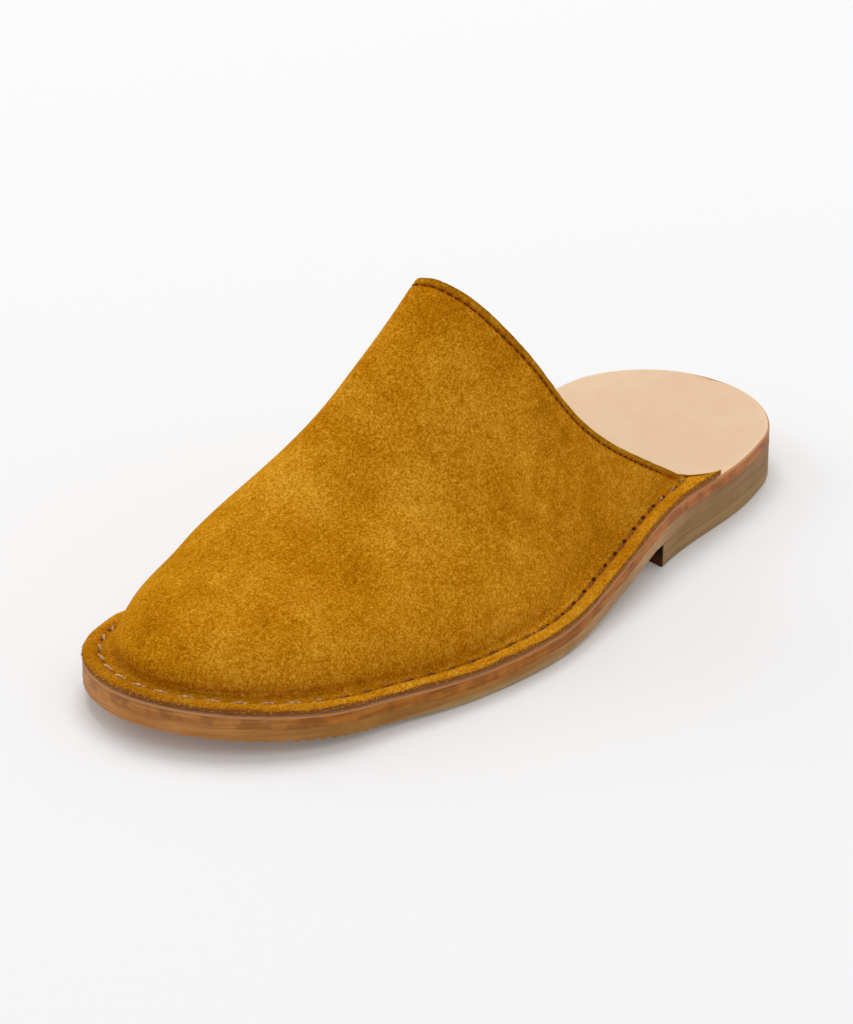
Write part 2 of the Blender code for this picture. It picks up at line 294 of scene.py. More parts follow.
def edge(share, side_inset=0.0, toe_inset=None):
    """The sole's outline as raw_edge gives it, moved so that its box is centred on the origin."""
    outer, inner, y = raw_edge(share, side_inset, side_inset if toe_inset is None else toe_inset)
    return outer - MIDDLE_X, inner - MIDDLE_X, y


def underside(y):
    """Height of the outsole's underside: up over the heel, flat at the tread, up again at the toe."""
    along = 0.5 - y / SOLE_LENGTH
    lift = HEEL_HEIGHT * (1 - ease((along - HEEL_SEAT_END) / (TREAD_START - HEEL_SEAT_END)))
    spring = np.clip((along - TREAD_END) / (1 - TREAD_END), 0.0, 1.0) ** SPRING_CURVE
    return lift + TOE_SPRING * spring


def edge_point(share, side, side_inset=0.0, toe_inset=None):
    """x and y of the outline on one side: outer +1, inner -1."""
    outer, inner, y = edge(share, side_inset, toe_inset)
    return (outer if side > 0 else inner), y


def feather_edge(share, side):
    """x and y of the feather line, where upper meets flange."""
    return edge_point(share, side, FLANGE_WIDTH_SIDE, FLANGE_WIDTH_TOE)


def skin(along, turn, side):
    """Points of the plain upper, from the ridge (turn 0) down one side to the feather line."""
    s = np.asarray(along)[:, None]
    turn = np.asarray(turn)[None]
    end = COLLAR_END[side]
    foot_x, foot_y = feather_edge(end + (1 - end) * s, side)
    toe_x, toe_y = feather_edge(1.0, side)
    apex_y = SOLE_LENGTH * (0.5 - COLLAR_APEX)
    ridge_y = apex_y + (toe_y - apex_y) * s
    rise = INSTEP_HEIGHT * smooth(s, UPPER_SECTIONS, "rise")
    rise = rise * rounded((ridge_y - toe_y) / TOE_BOX_ROUND, TOE_BOX_FULLNESS)
    ridge_x = BALL_WIDTH * smooth(s, UPPER_SECTIONS, "ridge")
    ridge_x = ridge_x + (toe_x - ridge_x) * ease(1 - (ridge_y - toe_y) / TOE_BOX_ROUND)
    name = SIDE_NAMES[side]
    across = np.sin(turn) ** (2 / smooth(s, UPPER_SECTIONS, name + "_across"))
    down = np.clip(np.cos(turn), 0, 1) ** (2 / smooth(s, UPPER_SECTIONS, name + "_down"))
    near_collar = (1 - s) ** 2
    back = (1 - down) ** (1 + (COLLAR_SWEEP[side] - 1) * near_collar)
    if side > 0:
        back = back + COLLAR_BOW * near_collar * np.sin(np.pi * np.clip(COLLAR_BOW_REACH * (1 - down), 0, 1))
    x = ridge_x + (foot_x - ridge_x) * across
    y = ridge_y + (foot_y - ridge_y) * back
    ridge_z = underside(ridge_y) + FLANGE_TOP + rise
    foot_z = underside(foot_y) + FLANGE_TOP
    return np.stack([x, y, foot_z + (ridge_z - foot_z) * down], axis=-1)


def nearest(points, line):
    """Distance from each point to the nearest of a line's points, and which one it is."""
    flat = points.reshape(-1, points.shape[-1])
    gaps = np.empty(len(flat))
    which = np.empty(len(flat), dtype=int)
    for start in range(0, len(flat), 2000):
        part = flat[start:start + 2000]
        distance = np.linalg.norm(part[:, None] - line[None], axis=2)
        which[start:start + 2000] = distance.argmin(axis=1)
        gaps[start:start + 2000] = distance.min(axis=1)
    return gaps.reshape(points.shape[:-1]), which.reshape(points.shape[:-1])


def refined(line, count):
    """The same line with evenly spaced points."""
    steps = np.linalg.norm(np.diff(line, axis=0), axis=1)
    travelled = np.concatenate([[0], np.cumsum(steps)])
    wanted = np.linspace(0, travelled[-1], count)
    return np.stack([np.interp(wanted, travelled, line[:, k]) for k in range(line.shape[1])], axis=1)


def plain_skin():
    """The plain upper as one grid from the inner feather line over the ridge to the outer, with its normals."""
    collar = np.linspace(0, COLLAR_ZONE, COLLAR_STATIONS, endpoint=False)
    body = 1 - (1 - np.linspace(0, 1, UPPER_STATIONS + 1)) ** TOE_CROWDING
    along = np.concatenate([collar, COLLAR_ZONE + (1 - COLLAR_ZONE) * body])
    turn = np.linspace(0, np.pi / 2, UPPER_TURNS + 1)
    outside = np.concatenate([skin(along, turn, -1)[:, :0:-1], skin(along, turn, 1)], axis=1)
    outside = let_out(along, outside)
    return along, outside, grid_normals(outside)


def sided(place, table):
    """Values of a table for both sides at places from the inner feather line, -1, to the outer one, 1."""
    share = np.abs(place)
    return np.where(place > 0, smooth(share, table, "outer"), smooth(share, table, "inner"))


def let_out(along, grid):
    """The upper's grid with its collar softened where it bends and let out to its true line."""
    place = np.linspace(-1, 1, grid.shape[1])
    soft = grid.copy()
    for _ in range(COLLAR_SOFTENING):
        soft[:, 1:-1] = (soft[:, :-2] + 2 * soft[:, 1:-1] + soft[:, 2:]) / 4
    bend = bell(place - COLLAR_BEND, COLLAR_BEND_WIDTH) * (place > 0)
    grid = grid + (ease(1 - along / COLLAR_REACH)[:, None] * bend)[..., None] * (soft - grid)
    reach = sided(place, LET_OUT)
    back = grid[0] - grid[3]
    back /= np.linalg.norm(back, axis=1, keepdims=True)
    fade = ease(1 - along / LET_OUT_REACH)
    return grid + (fade[:, None] * reach)[..., None] * back


def grid_normals(grid):
    """Outward normals of the upper's grid. Where the skin meets feather line and toe they lie level."""
    normal = np.cross(np.gradient(grid, axis=0), np.gradient(grid, axis=1))
    normal[-1] = (0, -1, 0)
    normal[:, (0, -1), 2] = 0
    return normal / np.linalg.norm(normal, axis=2, keepdims=True)


def fold_relief(points):
    """How far the folds press each point of the upper in."""
    relief = np.zeros(points.shape[:-1])
    for side, along, down, to_along, to_down, width, depth in zip(*FOLDS.values()):
        t = np.linspace(0, 1, FOLD_POINTS)
        path = np.concatenate([
            skin([along + (to_along - along) * k], [(down + (to_down - down) * k) * np.pi / 2], int(side))[0]
            for k in t])
        gaps, _ = nearest(points, refined(path, 4 * FOLD_POINTS))
        relief += depth * INSTEP_HEIGHT * bell(gaps, width * INSTEP_HEIGHT)
    return relief


def nap_light_and_shade_tone(points):
    """How much lighter or darker each point of the upper is painted: partly the nap's own mottling, partly painted
    light and shade.
    """
    tone = np.zeros(points.shape[:-1])
    for side, along, down, reach, value in zip(*NAP_LIGHT_AND_SHADE_PATCHES.values()):
        centre = skin([along], [down * np.pi / 2], int(side))[0, 0]
        tone += value * bell(np.linalg.norm(points - centre, axis=2), reach * INSTEP_HEIGHT)
    return np.clip(tone, -1.6, 1.6)


def feather_frame():
    """Points of the whole feather line with the direction that points out of the upper at each."""
    points, outward = [], []
    for side in (1, -1):
        end = COLLAR_END[side]
        share = 1 - (1 - end) * (1 - np.linspace(0, 1, OUTLINE_POINTS)) ** TOE_CROWDING
        x, y = feather_edge(share, side)
        along = np.stack([np.gradient(x, share), np.gradient(y, share)], axis=1)
        along /= np.linalg.norm(along, axis=1, keepdims=True)
        points.append(np.stack([x, y], axis=1))
        outward.append(side * np.stack([-along[:, 1], along[:, 0]], axis=1))
    return np.concatenate(points), np.concatenate(outward)


def soft_corner(share, radius):
    """Outward and upward place on a rounded inner corner. Share runs from the wall, 0, to the flange, 1."""
    angle = share * np.pi / 2
    return radius * (1 - np.cos(angle)), radius * (1 - np.sin(angle))


def dressed_upper(sizes):
    """Every grid that the suede, its lining and its seams are made from."""
    along, plain, normal = plain_skin()
    collar_gap, _ = nearest(plain, refined(plain[0], 2 * OUTLINE_POINTS))
    fade = ease(collar_gap / 0.006)
    height = plain[..., 2] - underside(plain[..., 1]) - FLANGE_TOP
    relief = fold_relief(plain) * (0.35 + 0.65 * fade)
    swell = sizes.toe_swell * bell(height - TOE_SWELL_HEIGHT, TOE_SWELL_REACH) * ease((-plain[..., 1] - 0.080) / 0.030)
    body = plain - normal * ((relief - swell) * ease(height / 0.0025))[..., None]
    body_normal = grid_normals(body)
    place = np.linspace(-1, 1, plain.shape[1])
    inset = sizes.collar_inset * (1 - COLLAR_NARROWING * ease((np.abs(place) - 0.3) / 0.3))
    roll = sizes.collar_roll * sided(place, COLLAR_ROLL)
    roll = roll * np.clip(1 - collar_gap / (1.15 * inset), 0, 1) ** 2
    seat = sizes.seam_depth * bell(collar_gap - inset, 0.0008)
    lip = sizes.collar_lip
    lip_turn = lip * (1 - np.sqrt(np.clip(1 - np.clip(1 - collar_gap / lip, 0, 1) ** 2, 0, 1)))
    outside = body - body_normal * (roll + seat + lip_turn)[..., None]
    inner_face = body - body_normal * (roll + sizes.suede_thickness)[..., None]
    lining_out = inner_face - body_normal * 0.00005
    lining_in = body - body_normal * (roll + UPPER_WALL)[..., None]

    # The wall turns softly into the flange
    line, outward = feather_frame()
    _, which = nearest(plain[..., :2], line)
    share = 0.5 * np.clip(1 - (1 - height / sizes.feather_radius), 0, 1)
    share = 0.5 - np.clip(share, 0, 0.5)
    out, up = soft_corner(share, sizes.feather_radius)
    foot = {side: plain[:, -1 if side > 0 else 0, :2].copy() for side in (-1, 1)}
    low = height < sizes.feather_radius
    outside[..., :2] += np.where(low, out, 0)[..., None] * outward[which]
    outside[..., 2] += np.where(low, up - height, 0)
    welt = sizes.welt_inset + (SEAM_END_INSET - sizes.welt_inset) * ease(1 - along / SEAM_TURN)
    upper = {"along": along, "foot": foot, "feather": (line, outward), "inset": welt, "collar_inset": inset}
    seam = seam_line(upper, sizes)
    # The upper's tone mark holds the patches' tone, partly painted light and shade, with painted shade in the folds'
    # troughs and painted light on their ridges
    return upper | {
        "seam": seam, "patch": nap_light_and_shade_tone(plain) - CREASE_SHADE * relief / INSTEP_HEIGHT, "outside": outside,
        "normal": body_normal, "inner_face": inner_face, "lining_out": lining_out, "lining_in": lining_in,
        "collar_gap": collar_gap,
    }


def flange_plan(upper, side, sizes):
    """Plan of the flange on one side: its grid, the way out of the upper, and how far each point is from the rim."""
    share = COLLAR_END[side] + (1 - COLLAR_END[side]) * upper["along"]
    foot = upper["foot"][side]
    rim = np.stack(edge_point(share, side), axis=1)
    line, outward = upper["feather"]
    _, which = nearest(foot, line)
    across = rim - foot
    width = np.linalg.norm(across, axis=1)[:, None]
    k = spaced(FLANGE_COLUMNS + 1)[None]
    place = foot[:, None] + across[:, None] * k[..., None]
    return place, outward[which][:, None], width * k, width * (1 - k)


def seam_line(upper, sizes):
    """The flange's stitch line in plan, from the outer collar end round the toe to the inner one."""
    sides = {}
    for side in (1, -1):
        place, _, _, from_rim = flange_plan(upper, side, sizes)
        sides[side] = np.array([
            [np.interp(inset, gaps[::-1], row[::-1, k]) for k in range(2)]
            for row, gaps, inset in zip(place, from_rim, upper["inset"])])
    return refined(np.concatenate([sides[1], sides[-1][::-1][1:]]), SEAM_POINTS)


def flange_grid(upper, side, sizes):
    """Top of the flange on one side, feather line to rim, and each point's distance from the rim."""
    place, outward, from_feather, from_rim = flange_plan(upper, side, sizes)
    radius = sizes.feather_radius
    corner = 0.5 + 0.5 * np.clip(from_feather / radius, 0, 1)
    out, up = soft_corner(corner, radius)
    near = from_feather < radius
    place = place + np.where(near, out - from_feather, 0)[..., None] * outward

    # The seam sinks in, most of all at its holes, and the leather swells on both sides of it
    seam = upper["seam"]
    gap, which = nearest(place, seam)
    travelled = which * np.linalg.norm(seam[1] - seam[0])
    hole = 0.5 - 0.5 * np.cos(2 * np.pi * travelled / sizes.welt_pitch)
    lift = np.where(near, up, 0)
    lift = lift - sizes.welt_depth * bell(gap, 0.0011) - sizes.hole_depth * hole ** 3 * bell(gap, 0.0009)
    swell = bell(from_rim - 0.52 * sizes.welt_inset, 0.0015)
    lift = lift + (0.00030 + 0.00012 * hole) * swell
    sway = 0.00016 * np.sin(travelled / 0.0043) + 0.00012 * np.sin(travelled / 0.0021 + 1.7)
    lift = lift + sway * ease(1 - from_rim / 0.004)
    fall = np.clip(1 - from_rim / sizes.rim_round, 0, 1)
    drop = sizes.rim_drop * (1 - 0.55 * ease((place[..., 1] + 0.010) / 0.050))
    lift = lift - drop * (1 - np.sqrt(1 - fall ** 2))
    z = underside(place[..., 1]) + FLANGE_TOP + lift
    return np.concatenate([place, z[..., None]], axis=2), from_rim, travelled[:, -1:]


def rim_profile(thickness):
    """Outward and upward steps round the raw edge of the flange, from its top to its underside."""
    return np.array([(0.0001, -0.66 * thickness), (-0.00005, -0.86 * thickness), (-0.0004, -thickness + 0.00005)])


def flange_rim(top, side, travelled):
    """The raw edge under the flange's top: a few points round it at each station."""
    rim = top[:, -1]
    tangent = np.gradient(rim[:, :2], axis=0)
    tangent /= np.linalg.norm(tangent, axis=1, keepdims=True) + 1e-12
    outward = side * np.stack([-tangent[:, 1], tangent[:, 0]], axis=1)
    outward[-1] = (0, -1)
    fray = 0.00008 * np.sin(travelled / 0.00083) + 0.00006 * np.sin(travelled / 0.00047 + 0.9)
    base = underside(rim[:, 1]) + FLANGE_TOP
    rows = []
    for step, (out, up) in enumerate(rim_profile(FLANGE_THICKNESS)):
        drift = fray[:, 0] * (1 if step < 2 else 0)
        place = rim[:, :2] + (out + drift)[:, None] * outward
        z = base + up
        rows.append(np.concatenate([place, z[:, None]], axis=1))
    return np.stack(rows, axis=1)


def add_mesh(name, points, faces, material, marks=None, body="root", stands_for=()):
    """One mesh piece with its marks as attributes, doubled points merged and faces turned outwards."""
    mesh = bpy.data.meshes.new(name)
    mesh.from_pydata(np.asarray(points).tolist(), [], [tuple(int(i) for i in face) for face in faces])
    for mark, values in (marks or {}).items():
        mesh.attributes.new(mark, "FLOAT", "POINT").data.foreach_set("value", np.asarray(values, np.float32))
    bm = bmesh.new()
    bm.from_mesh(mesh)
    bmesh.ops.remove_doubles(bm, verts=bm.verts, dist=MERGE_DISTANCE)
    bmesh.ops.dissolve_degenerate(bm, edges=bm.edges, dist=MERGE_DISTANCE / 4)
    bmesh.ops.recalc_face_normals(bm, faces=bm.faces)
    if bm.calc_volume(signed=True) < 0:
        bmesh.ops.reverse_faces(bm, faces=bm.faces)
    bm.to_mesh(mesh)
    bm.free()
    mesh.shade_smooth()
    mesh.set_sharp_from_angle(angle=SMOOTH_ANGLE)
    mesh.materials.append(material)
    obj = bpy.data.objects.new(name, mesh)
    bpy.context.scene.collection.objects.link(obj)
    return place_piece(obj, stands_for, body)


def place_piece(obj, stands_for=(), body="root"):
    """Makes a piece ride on the shoe and hides the solids that it stands for."""
    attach(obj, body)
    if stands_for:
        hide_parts(*stands_for)
    return obj


def quads(ids):
    """Faces between neighbouring rows and columns of a grid of point numbers."""
    a, b, c, d = ids[:-1, :-1], ids[1:, :-1], ids[1:, 1:], ids[:-1, 1:]
    return np.stack([a, b, c, d], axis=-1).reshape(-1, 4)


def ring_quads(ids):
    """As quads, with the last column joined to the first."""
    return quads(np.concatenate([ids, ids[:, :1]], axis=1))


def suede_sections(upper, sizes):
    """The suede as one closed section a station, and what each of its points is, as marks."""
    sides = {}
    for side in (-1, 1):
        top, from_rim, travelled = flange_grid(upper, side, sizes)
        rim = flange_rim(top, side, travelled)
        inner_foot = upper["inner_face"][:, -1 if side > 0 else 0].copy()
        inner_foot[:, 2] = underside(inner_foot[:, 1]) + FLANGE_BOTTOM
        sides[side] = {"top": top, "from_rim": from_rim, "rim": rim, "inner_foot": inner_foot}
    wall = upper["outside"]
    flesh = upper["inner_face"]
    left, right = sides[-1], sides[1]
    parts = [
        (left["inner_foot"][:, None], "flesh", None),
        (left["rim"][:, ::-1], "rim", None),
        (left["top"][:, :0:-1], "flange", left["from_rim"][:, :0:-1]),
        (wall, "wall", None),
        (right["top"][:, 1:], "flange", right["from_rim"][:, 1:]),
        (right["rim"], "rim", None),
        (right["inner_foot"][:, None], "flesh", None),
        (flesh[:, ::-1], "flesh", None),
    ]
    sections = np.concatenate([part for part, _, _ in parts], axis=1)
    names = ("flange", "rim", "band", "edge", "line", "flesh", "groove", "patch")
    marks = {name: np.zeros(sections.shape[:2]) for name in names}
    column = 0
    spans = []
    for part, kind, from_rim in parts:
        span = slice(column, column + part.shape[1])
        spans.append(span)
        if kind == "flesh":
            marks["flesh"][:, span] = 1
        elif kind == "rim":
            marks["rim"][:, span] = 1
            marks["flange"][:, span] = 1
        elif kind == "flange":
            marks["flange"][:, span] = 1
            behind = ease((part[..., 1] + 0.010) / 0.050)
            marks["rim"][:, span] = bell(from_rim, 0.00035 + 0.0002 * behind)
            marks["groove"][:, span] = bell(from_rim - upper["inset"][:, None], 0.0009)
        else:
            inset = upper["collar_inset"]
            # The wall carries the patches' and folds' painted light and shade as a mark
            marks["patch"][:, span] = upper["patch"]
            marks["band"][:, span] = 1 - ease((upper["collar_gap"] - inset) / 0.0006)
            marks["edge"][:, span] = bell(upper["collar_gap"], 0.0008)
            marks["line"][:, span] = bell(upper["collar_gap"] - inset, 0.0007)
        column += part.shape[1]
    return sections, marks, spans, sides


def tail_sections(first, side):
    """Sections of the flange's tail behind the collar, from the first one back to the cut."""
    end = COLLAR_END[side]
    first_rim_x = edge_point(end, side)[0]
    rows = []
    for k in range(TAIL_STATIONS + 1):
        t = k / TAIL_STATIONS
        run = t * TAIL_LENGTH * TAIL_SHARE
        rim_x, _ = edge_point(end - run / SOLE_LENGTH, side)
        keep = 1 - (1 - TAIL_TAPER) * t ** 0.6
        row = first.copy()
        row[:, 0] = rim_x + (first[:, 0] - first_rim_x) * keep
        row[:, 1] = first[:, 1] + run
        over = first[:, 2] - underside(first[:, 1])
        over = np.where(over > FLANGE_TOP, FLANGE_TOP + (over - FLANGE_TOP) * (1 - t), over)
        row[:, 2] = underside(row[:, 1]) + over
        rows.append(row)
    return np.stack(rows)


def add_suede(settings, material):
    """The suede: wall, flange, raw edge and tails as one closed skin."""
    upper = dressed_upper(settings)
    sections, marks, spans, _ = suede_sections(upper, settings)
    stations, per_section = sections.shape[:2]
    ids = np.arange(stations * per_section).reshape(stations, per_section)
    points = [sections.reshape(-1, 3)]
    values = {name: [mark.reshape(-1)] for name, mark in marks.items()}
    faces = [ring_quads(ids)]

    # The collar's cut edge closes the wall between its outside and its flesh side
    wall, flesh = spans[3], spans[7]
    outer_row = ids[0, wall]
    inner_row = ids[0, flesh][::-1]
    faces.append(quads(np.stack([outer_row, inner_row])))

    count = stations * per_section
    for side, kinds in ((-1, (0, 1, 2)), (1, (4, 5, 6))):
        columns_used = np.concatenate([ids[0, spans[k]] for k in kinds])
        feather = outer_row[0] if side < 0 else outer_row[-1]
        foot = inner_row[0] if side < 0 else inner_row[-1]
        loop = np.concatenate([[foot], columns_used, [feather]] if side < 0 else [[feather], columns_used, [foot]])
        first = np.concatenate(points)[loop]
        rows = tail_sections(first, side)[1:]
        new = count + np.arange(rows.shape[0] * rows.shape[1]).reshape(rows.shape[:2])
        points.append(rows.reshape(-1, 3))
        for name in values:
            start = np.concatenate(values[name])[loop]
            fresh = np.tile(start, (rows.shape[0], 1))
            if name in ("groove", "band", "edge", "line"):
                fresh = fresh * (1 - np.linspace(0, 1, rows.shape[0]))[:, None]
            if name == "rim":
                fresh[-1] = 1
            values[name].append(fresh.reshape(-1))
        tail = np.concatenate([loop[None], new])
        faces.append(ring_quads(tail))
        faces.append(fan(new[-1]))
        count += rows.shape[0] * rows.shape[1]
    all_faces = [face for group in faces for face in group]
    return add_mesh("suede_upper", np.concatenate(points), all_faces, material,
                    {name: np.concatenate(parts) for name, parts in values.items()},
                    stands_for=("upper",))


def fan(loop):
    """Strips across a flat closed loop, from its two ends to its middle."""
    loop = list(loop)
    faces = []
    low, high = 0, len(loop) - 1
    while high - low >= 2:
        if high - low == 2:
            faces.append((loop[low], loop[low + 1], loop[high]))
        else:
            faces.append((loop[low], loop[low + 1], loop[high - 1], loop[high]))
        low, high = low + 1, high - 1
    return faces


def add_lining(settings, material):
    """The leather lining inside the suede, down to the insole."""
    upper = dressed_upper(settings)
    out, inside = upper["lining_out"].copy(), upper["lining_in"].copy()
    for grid in (out, inside):
        for column in (0, -1):
            grid[:, column, 2] = underside(grid[:, column, 1]) + INSOLE_TOP + 0.00005
    # It stops just short of the suede's cut edge
    short = ease(1 - upper["collar_gap"] / 0.002)[..., None] * (0.0, 0.0, -0.0002)
    out, inside = out + short, inside + short
    stations, width = out.shape[:2]
    ids = np.arange(stations * width * 2).reshape(2, stations, width)
    faces = np.concatenate([
        quads(ids[0]), quads(ids[1])[:, ::-1],
        quads(np.stack([ids[0, 0], ids[1, 0]])),
        quads(np.stack([ids[0, :, 0], ids[1, :, 0]])),
        quads(np.stack([ids[1, :, -1], ids[0, :, -1]])),
    ])
    points = np.concatenate([out.reshape(-1, 3), inside.reshape(-1, 3)])
    gap = upper["collar_gap"].reshape(-1)
    marks = {"cut": np.tile(bell(gap, 0.0009), 2)}
    return add_mesh("upper_lining", points, faces, material, marks, stands_for=("upper",))


def varied_edge(shares, side, inset):
    """x and y of the outline drawn in by an inset that changes along the shoe."""
    x, y = edge_point(shares, side)
    far_x, far_y = edge_point(shares, side, EDGE_STEP)
    reach = inset(y) / EDGE_STEP
    return x + (far_x - x) * reach, y + (far_y - y) * reach


def layer_sections(shares, rings, across, dish=0.0):
    """A sole layer as closed sections. Rings run up the side, each an inset and a height function."""
    parts = []
    top_inset, top = rings[-1]
    for side in (1, -1):
        rows = []
        for inset, height in rings:
            x, y = edge_point(shares, side, inset) if np.isscalar(inset) else varied_edge(shares, side, inset)
            rows.append(np.stack([x, y, height(y)], axis=-1))
        parts.append(np.stack(rows, axis=1))
    outer, inner = parts
    c = np.linspace(0, 1, across + 1)[None, 1:-1, None]
    lid = outer[:, -1:] + (inner[:, -1:] - outer[:, -1:]) * c
    lid[..., 2] -= dish * (4 * c[..., 0] * (1 - c[..., 0])) ** 0.7
    base = inner[:, :1] + (outer[:, :1] - inner[:, :1]) * c
    return np.concatenate([outer, lid, inner[:, ::-1], base], axis=1), len(rings)


def round_over(radius, top, steps=EDGE_STEPS):
    """Rings over a rounded top edge: inset and height function of each."""
    rings = []
    for k in range(steps + 1):
        angle = k / steps * np.pi / 2
        inset = radius * (1 - np.cos(angle))
        drop = radius * (1 - np.sin(angle))
        rings.append((inset, lambda y, drop=drop: underside(y) + top - drop))
    return rings


def add_insole(settings, material):
    """The leather insole, slightly dished, with a rounded and burnished edge."""
    bottom = OUTSOLE_THICKNESS + 0.5 * GAP
    rings = [(0.0, lambda y: underside(y) + bottom)] + round_over(settings.insole_round, INSOLE_TOP)
    sections, per_side = layer_sections(spaced(SOLE_STATIONS + 1), rings, SOLE_COLUMNS, settings.insole_dish)
    stations, width = sections.shape[:2]
    ids = np.arange(stations * width).reshape(stations, width)
    side = np.zeros(width)
    climb = np.concatenate([[1.0], 1 - np.linspace(0, 1, EDGE_STEPS + 1)])
    side[:per_side] = climb
    side[per_side + SOLE_COLUMNS - 1:2 * per_side + SOLE_COLUMNS - 1] = climb[::-1]
    side[2 * per_side + SOLE_COLUMNS - 1:] = 1
    rim_gap, _ = nearest(sections[..., :2], whole_outline())
    marks = {"side": np.tile(side, stations), "rim_gap": rim_gap.reshape(-1)}
    return add_mesh("insole_board", sections.reshape(-1, 3), ring_quads(ids), material, marks,
                    stands_for=("insole",))


def whole_outline():
    """The sole's outline as one closed line of points in plan."""
    outer, inner, y = edge(spaced(OUTLINE_POINTS))
    return np.concatenate([np.stack([outer, y], axis=1), np.stack([inner, y], axis=1)[::-1]])


def tread(y, settings, worn=0.0):
    """Depth of the fine ribs across the underside at each y, worn away as said except near the toe."""
    wave = np.abs(np.sin(np.pi * y / settings.tread_pitch)) ** 1.6
    along = 0.5 - y / SOLE_LENGTH
    reach = ease((along - 0.52) / 0.12) * (0.35 + 0.65 * ease((along - 0.60) / 0.10))
    reach = reach * (1 - worn * (1 - 0.7 * ease((along - 0.77) / 0.06)))
    return settings.tread_depth * wave * reach * (1 - 0.65 * ease((along - 0.93) / 0.05))


def add_outsole(settings, material):
    """The rubber outsole: a lightly bowed side over an underside with fine ribs across it."""
    count = int(SOLE_LENGTH / settings.tread_pitch * 8)
    shares = np.unique(np.concatenate([np.linspace(0, 1, count), spaced(90)]).round(6))
    rise = OUTSOLE_THICKNESS

    def ribbed(y, worn=0.0):
        over_heel = ease(((0.5 - BREAST_SHARE) * SOLE_LENGTH - y) / -0.002)
        return underside(y) + tread(y, settings, worn) - 0.5 * GAP * over_heel

    def edge_round(y):
        return 0.0001 + 0.0010 * ease((y - (0.5 - BREAST_SHARE) * SOLE_LENGTH) / -0.006)

    rings = [
        (lambda y: edge_round(y), ribbed),
        (lambda y: 0.36 * edge_round(y), lambda y: ribbed(y, 1.0) + 0.14 * edge_round(y)),
        (0.0, lambda y: ribbed(y, 1.0) + 0.55 * edge_round(y)),
        (0.0, lambda y: underside(y) + 0.45 * rise),
        (-0.00008, lambda y: underside(y) + 0.62 * rise),
        (0.0, lambda y: underside(y) + rise + 0.5 * GAP - 0.00012),
        (0.00010, lambda y: underside(y) + rise + 0.5 * GAP),
    ]
    sections, per_side = layer_sections(shares, rings, 12)
    stations, width = sections.shape[:2]
    ids = np.arange(stations * width).reshape(stations, width)
    return add_mesh("outsole_ribbed", sections.reshape(-1, 3), ring_quads(ids), material, {},
                    stands_for=("outsole",))


def heel_sections(rings):
    """A heel layer's rings as grids from its outer side to its inner, hollowed at the breast."""
    shares = BREAST_SHARE * (1 - np.cos(np.linspace(0, np.pi / 2, HEEL_STATIONS + 1)))
    across = np.linspace(0, 1, HEEL_COLUMNS + 1)[None]
    near = np.clip(1 - (BREAST_SHARE - shares) * SOLE_LENGTH / BREAST_RUN, 0, 1)[:, None]
    grids = []
    for inset, height in rings:
        outer, inner, y = edge(shares, inset)
        x = outer[:, None] + (inner - outer)[:, None] * across
        y = y[:, None] + BREAST_HOLLOW * near * 4 * across * (1 - across)
        grids.append(np.stack([x, y, height(y)], axis=-1))
    return np.array(grids)


def add_heel_layer(name, node, rings, material):
    """A layer of the heel from its rings, bottom to top, with a mark on its breast."""
    grids = heel_sections(rings)
    levels, rows, width = grids.shape[:3]
    ids = np.arange(levels * rows * width).reshape(levels, rows, width)
    faces = [quads(ids[:, :, 0]), quads(ids[:, :, -1]), quads(ids[:, -1]), quads(ids[0]), quads(ids[-1])]
    breast = np.zeros((levels, rows, width))
    breast[:, -1, 1:-1] = 1
    return add_mesh(name, grids.reshape(-1, 3), np.concatenate(faces), material, {"breast": breast.reshape(-1)},
                    stands_for=(node,))


def add_heel(settings, lift_material, top_material):
    """Both layers of the heel, each with its edges just eased."""
    soft = 0.00006
    joint = TOP_PIECE_THICKNESS + 0.5 * GAP
    rise = np.linspace(0.1, 0.9, 5)
    add_heel_layer("heel_lift_waxed", "heel_lift", [
        (soft, lambda y: joint + 0 * y),
        (0.0, lambda y: joint + soft + 0 * y),
        *((0.0, lambda y, k=k: joint + soft + k * (underside(y) - 0.5 * GAP - joint - 2 * soft)) for k in rise),
        (0.0, lambda y: underside(y) - 0.5 * GAP - soft),
        (soft, lambda y: underside(y) - 0.5 * GAP),
    ], lift_material)
    add_heel_layer("heel_top_piece_worn", "heel_top_piece", [
        (0.0007, lambda y: 0 * y),
        (0.0002, lambda y: 0.0002 + 0 * y),
        (0.0, lambda y: 0.0007 + 0 * y),
        (0.0, lambda y: joint - soft + 0 * y),
        (soft, lambda y: joint + 0 * y),
    ], top_material)


class Socket:
    """An output socket that arithmetic can be written on: each operation adds a Math node."""

    def __init__(self, tree, socket):
        self.tree, self.socket = tree, socket

    def math(self, operation, *values):
        node = self.tree.node("ShaderNodeMath", {"operation": operation}, dict(enumerate(values)))
        return node[0]

    def __add__(self, other):
        return self.math("ADD", self, other)

    def __sub__(self, other):
        return self.math("SUBTRACT", self, other)

    def __rsub__(self, other):
        return self.math("SUBTRACT", other, self)

    def __mul__(self, other):
        return self.math("MULTIPLY", self, other)

    def __truediv__(self, other):
        return self.math("DIVIDE", self, other)

    def __pow__(self, other):
        return self.math("POWER", self, other)

    __radd__ = __add__
    __rmul__ = __mul__

    def clamped(self):
        """The value held between 0 and 1."""
        return self.math("MINIMUM", self.math("MAXIMUM", self, 0.0), 1.0)

    def step(self, low, high):
        """Soft step that is 0 below low and 1 above high."""
        node = self.tree.node("ShaderNodeMapRange", {"interpolation_type": "SMOOTHSTEP"},
                              {"Value": self, "From Min": low, "From Max": high})
        return node["Result"]


class Node:
    """A node whose outputs are reached by name or number."""

    def __init__(self, tree, node):
        self.tree, self.node = tree, node

    def __getitem__(self, key):
        return Socket(self.tree, self.node.outputs[key])


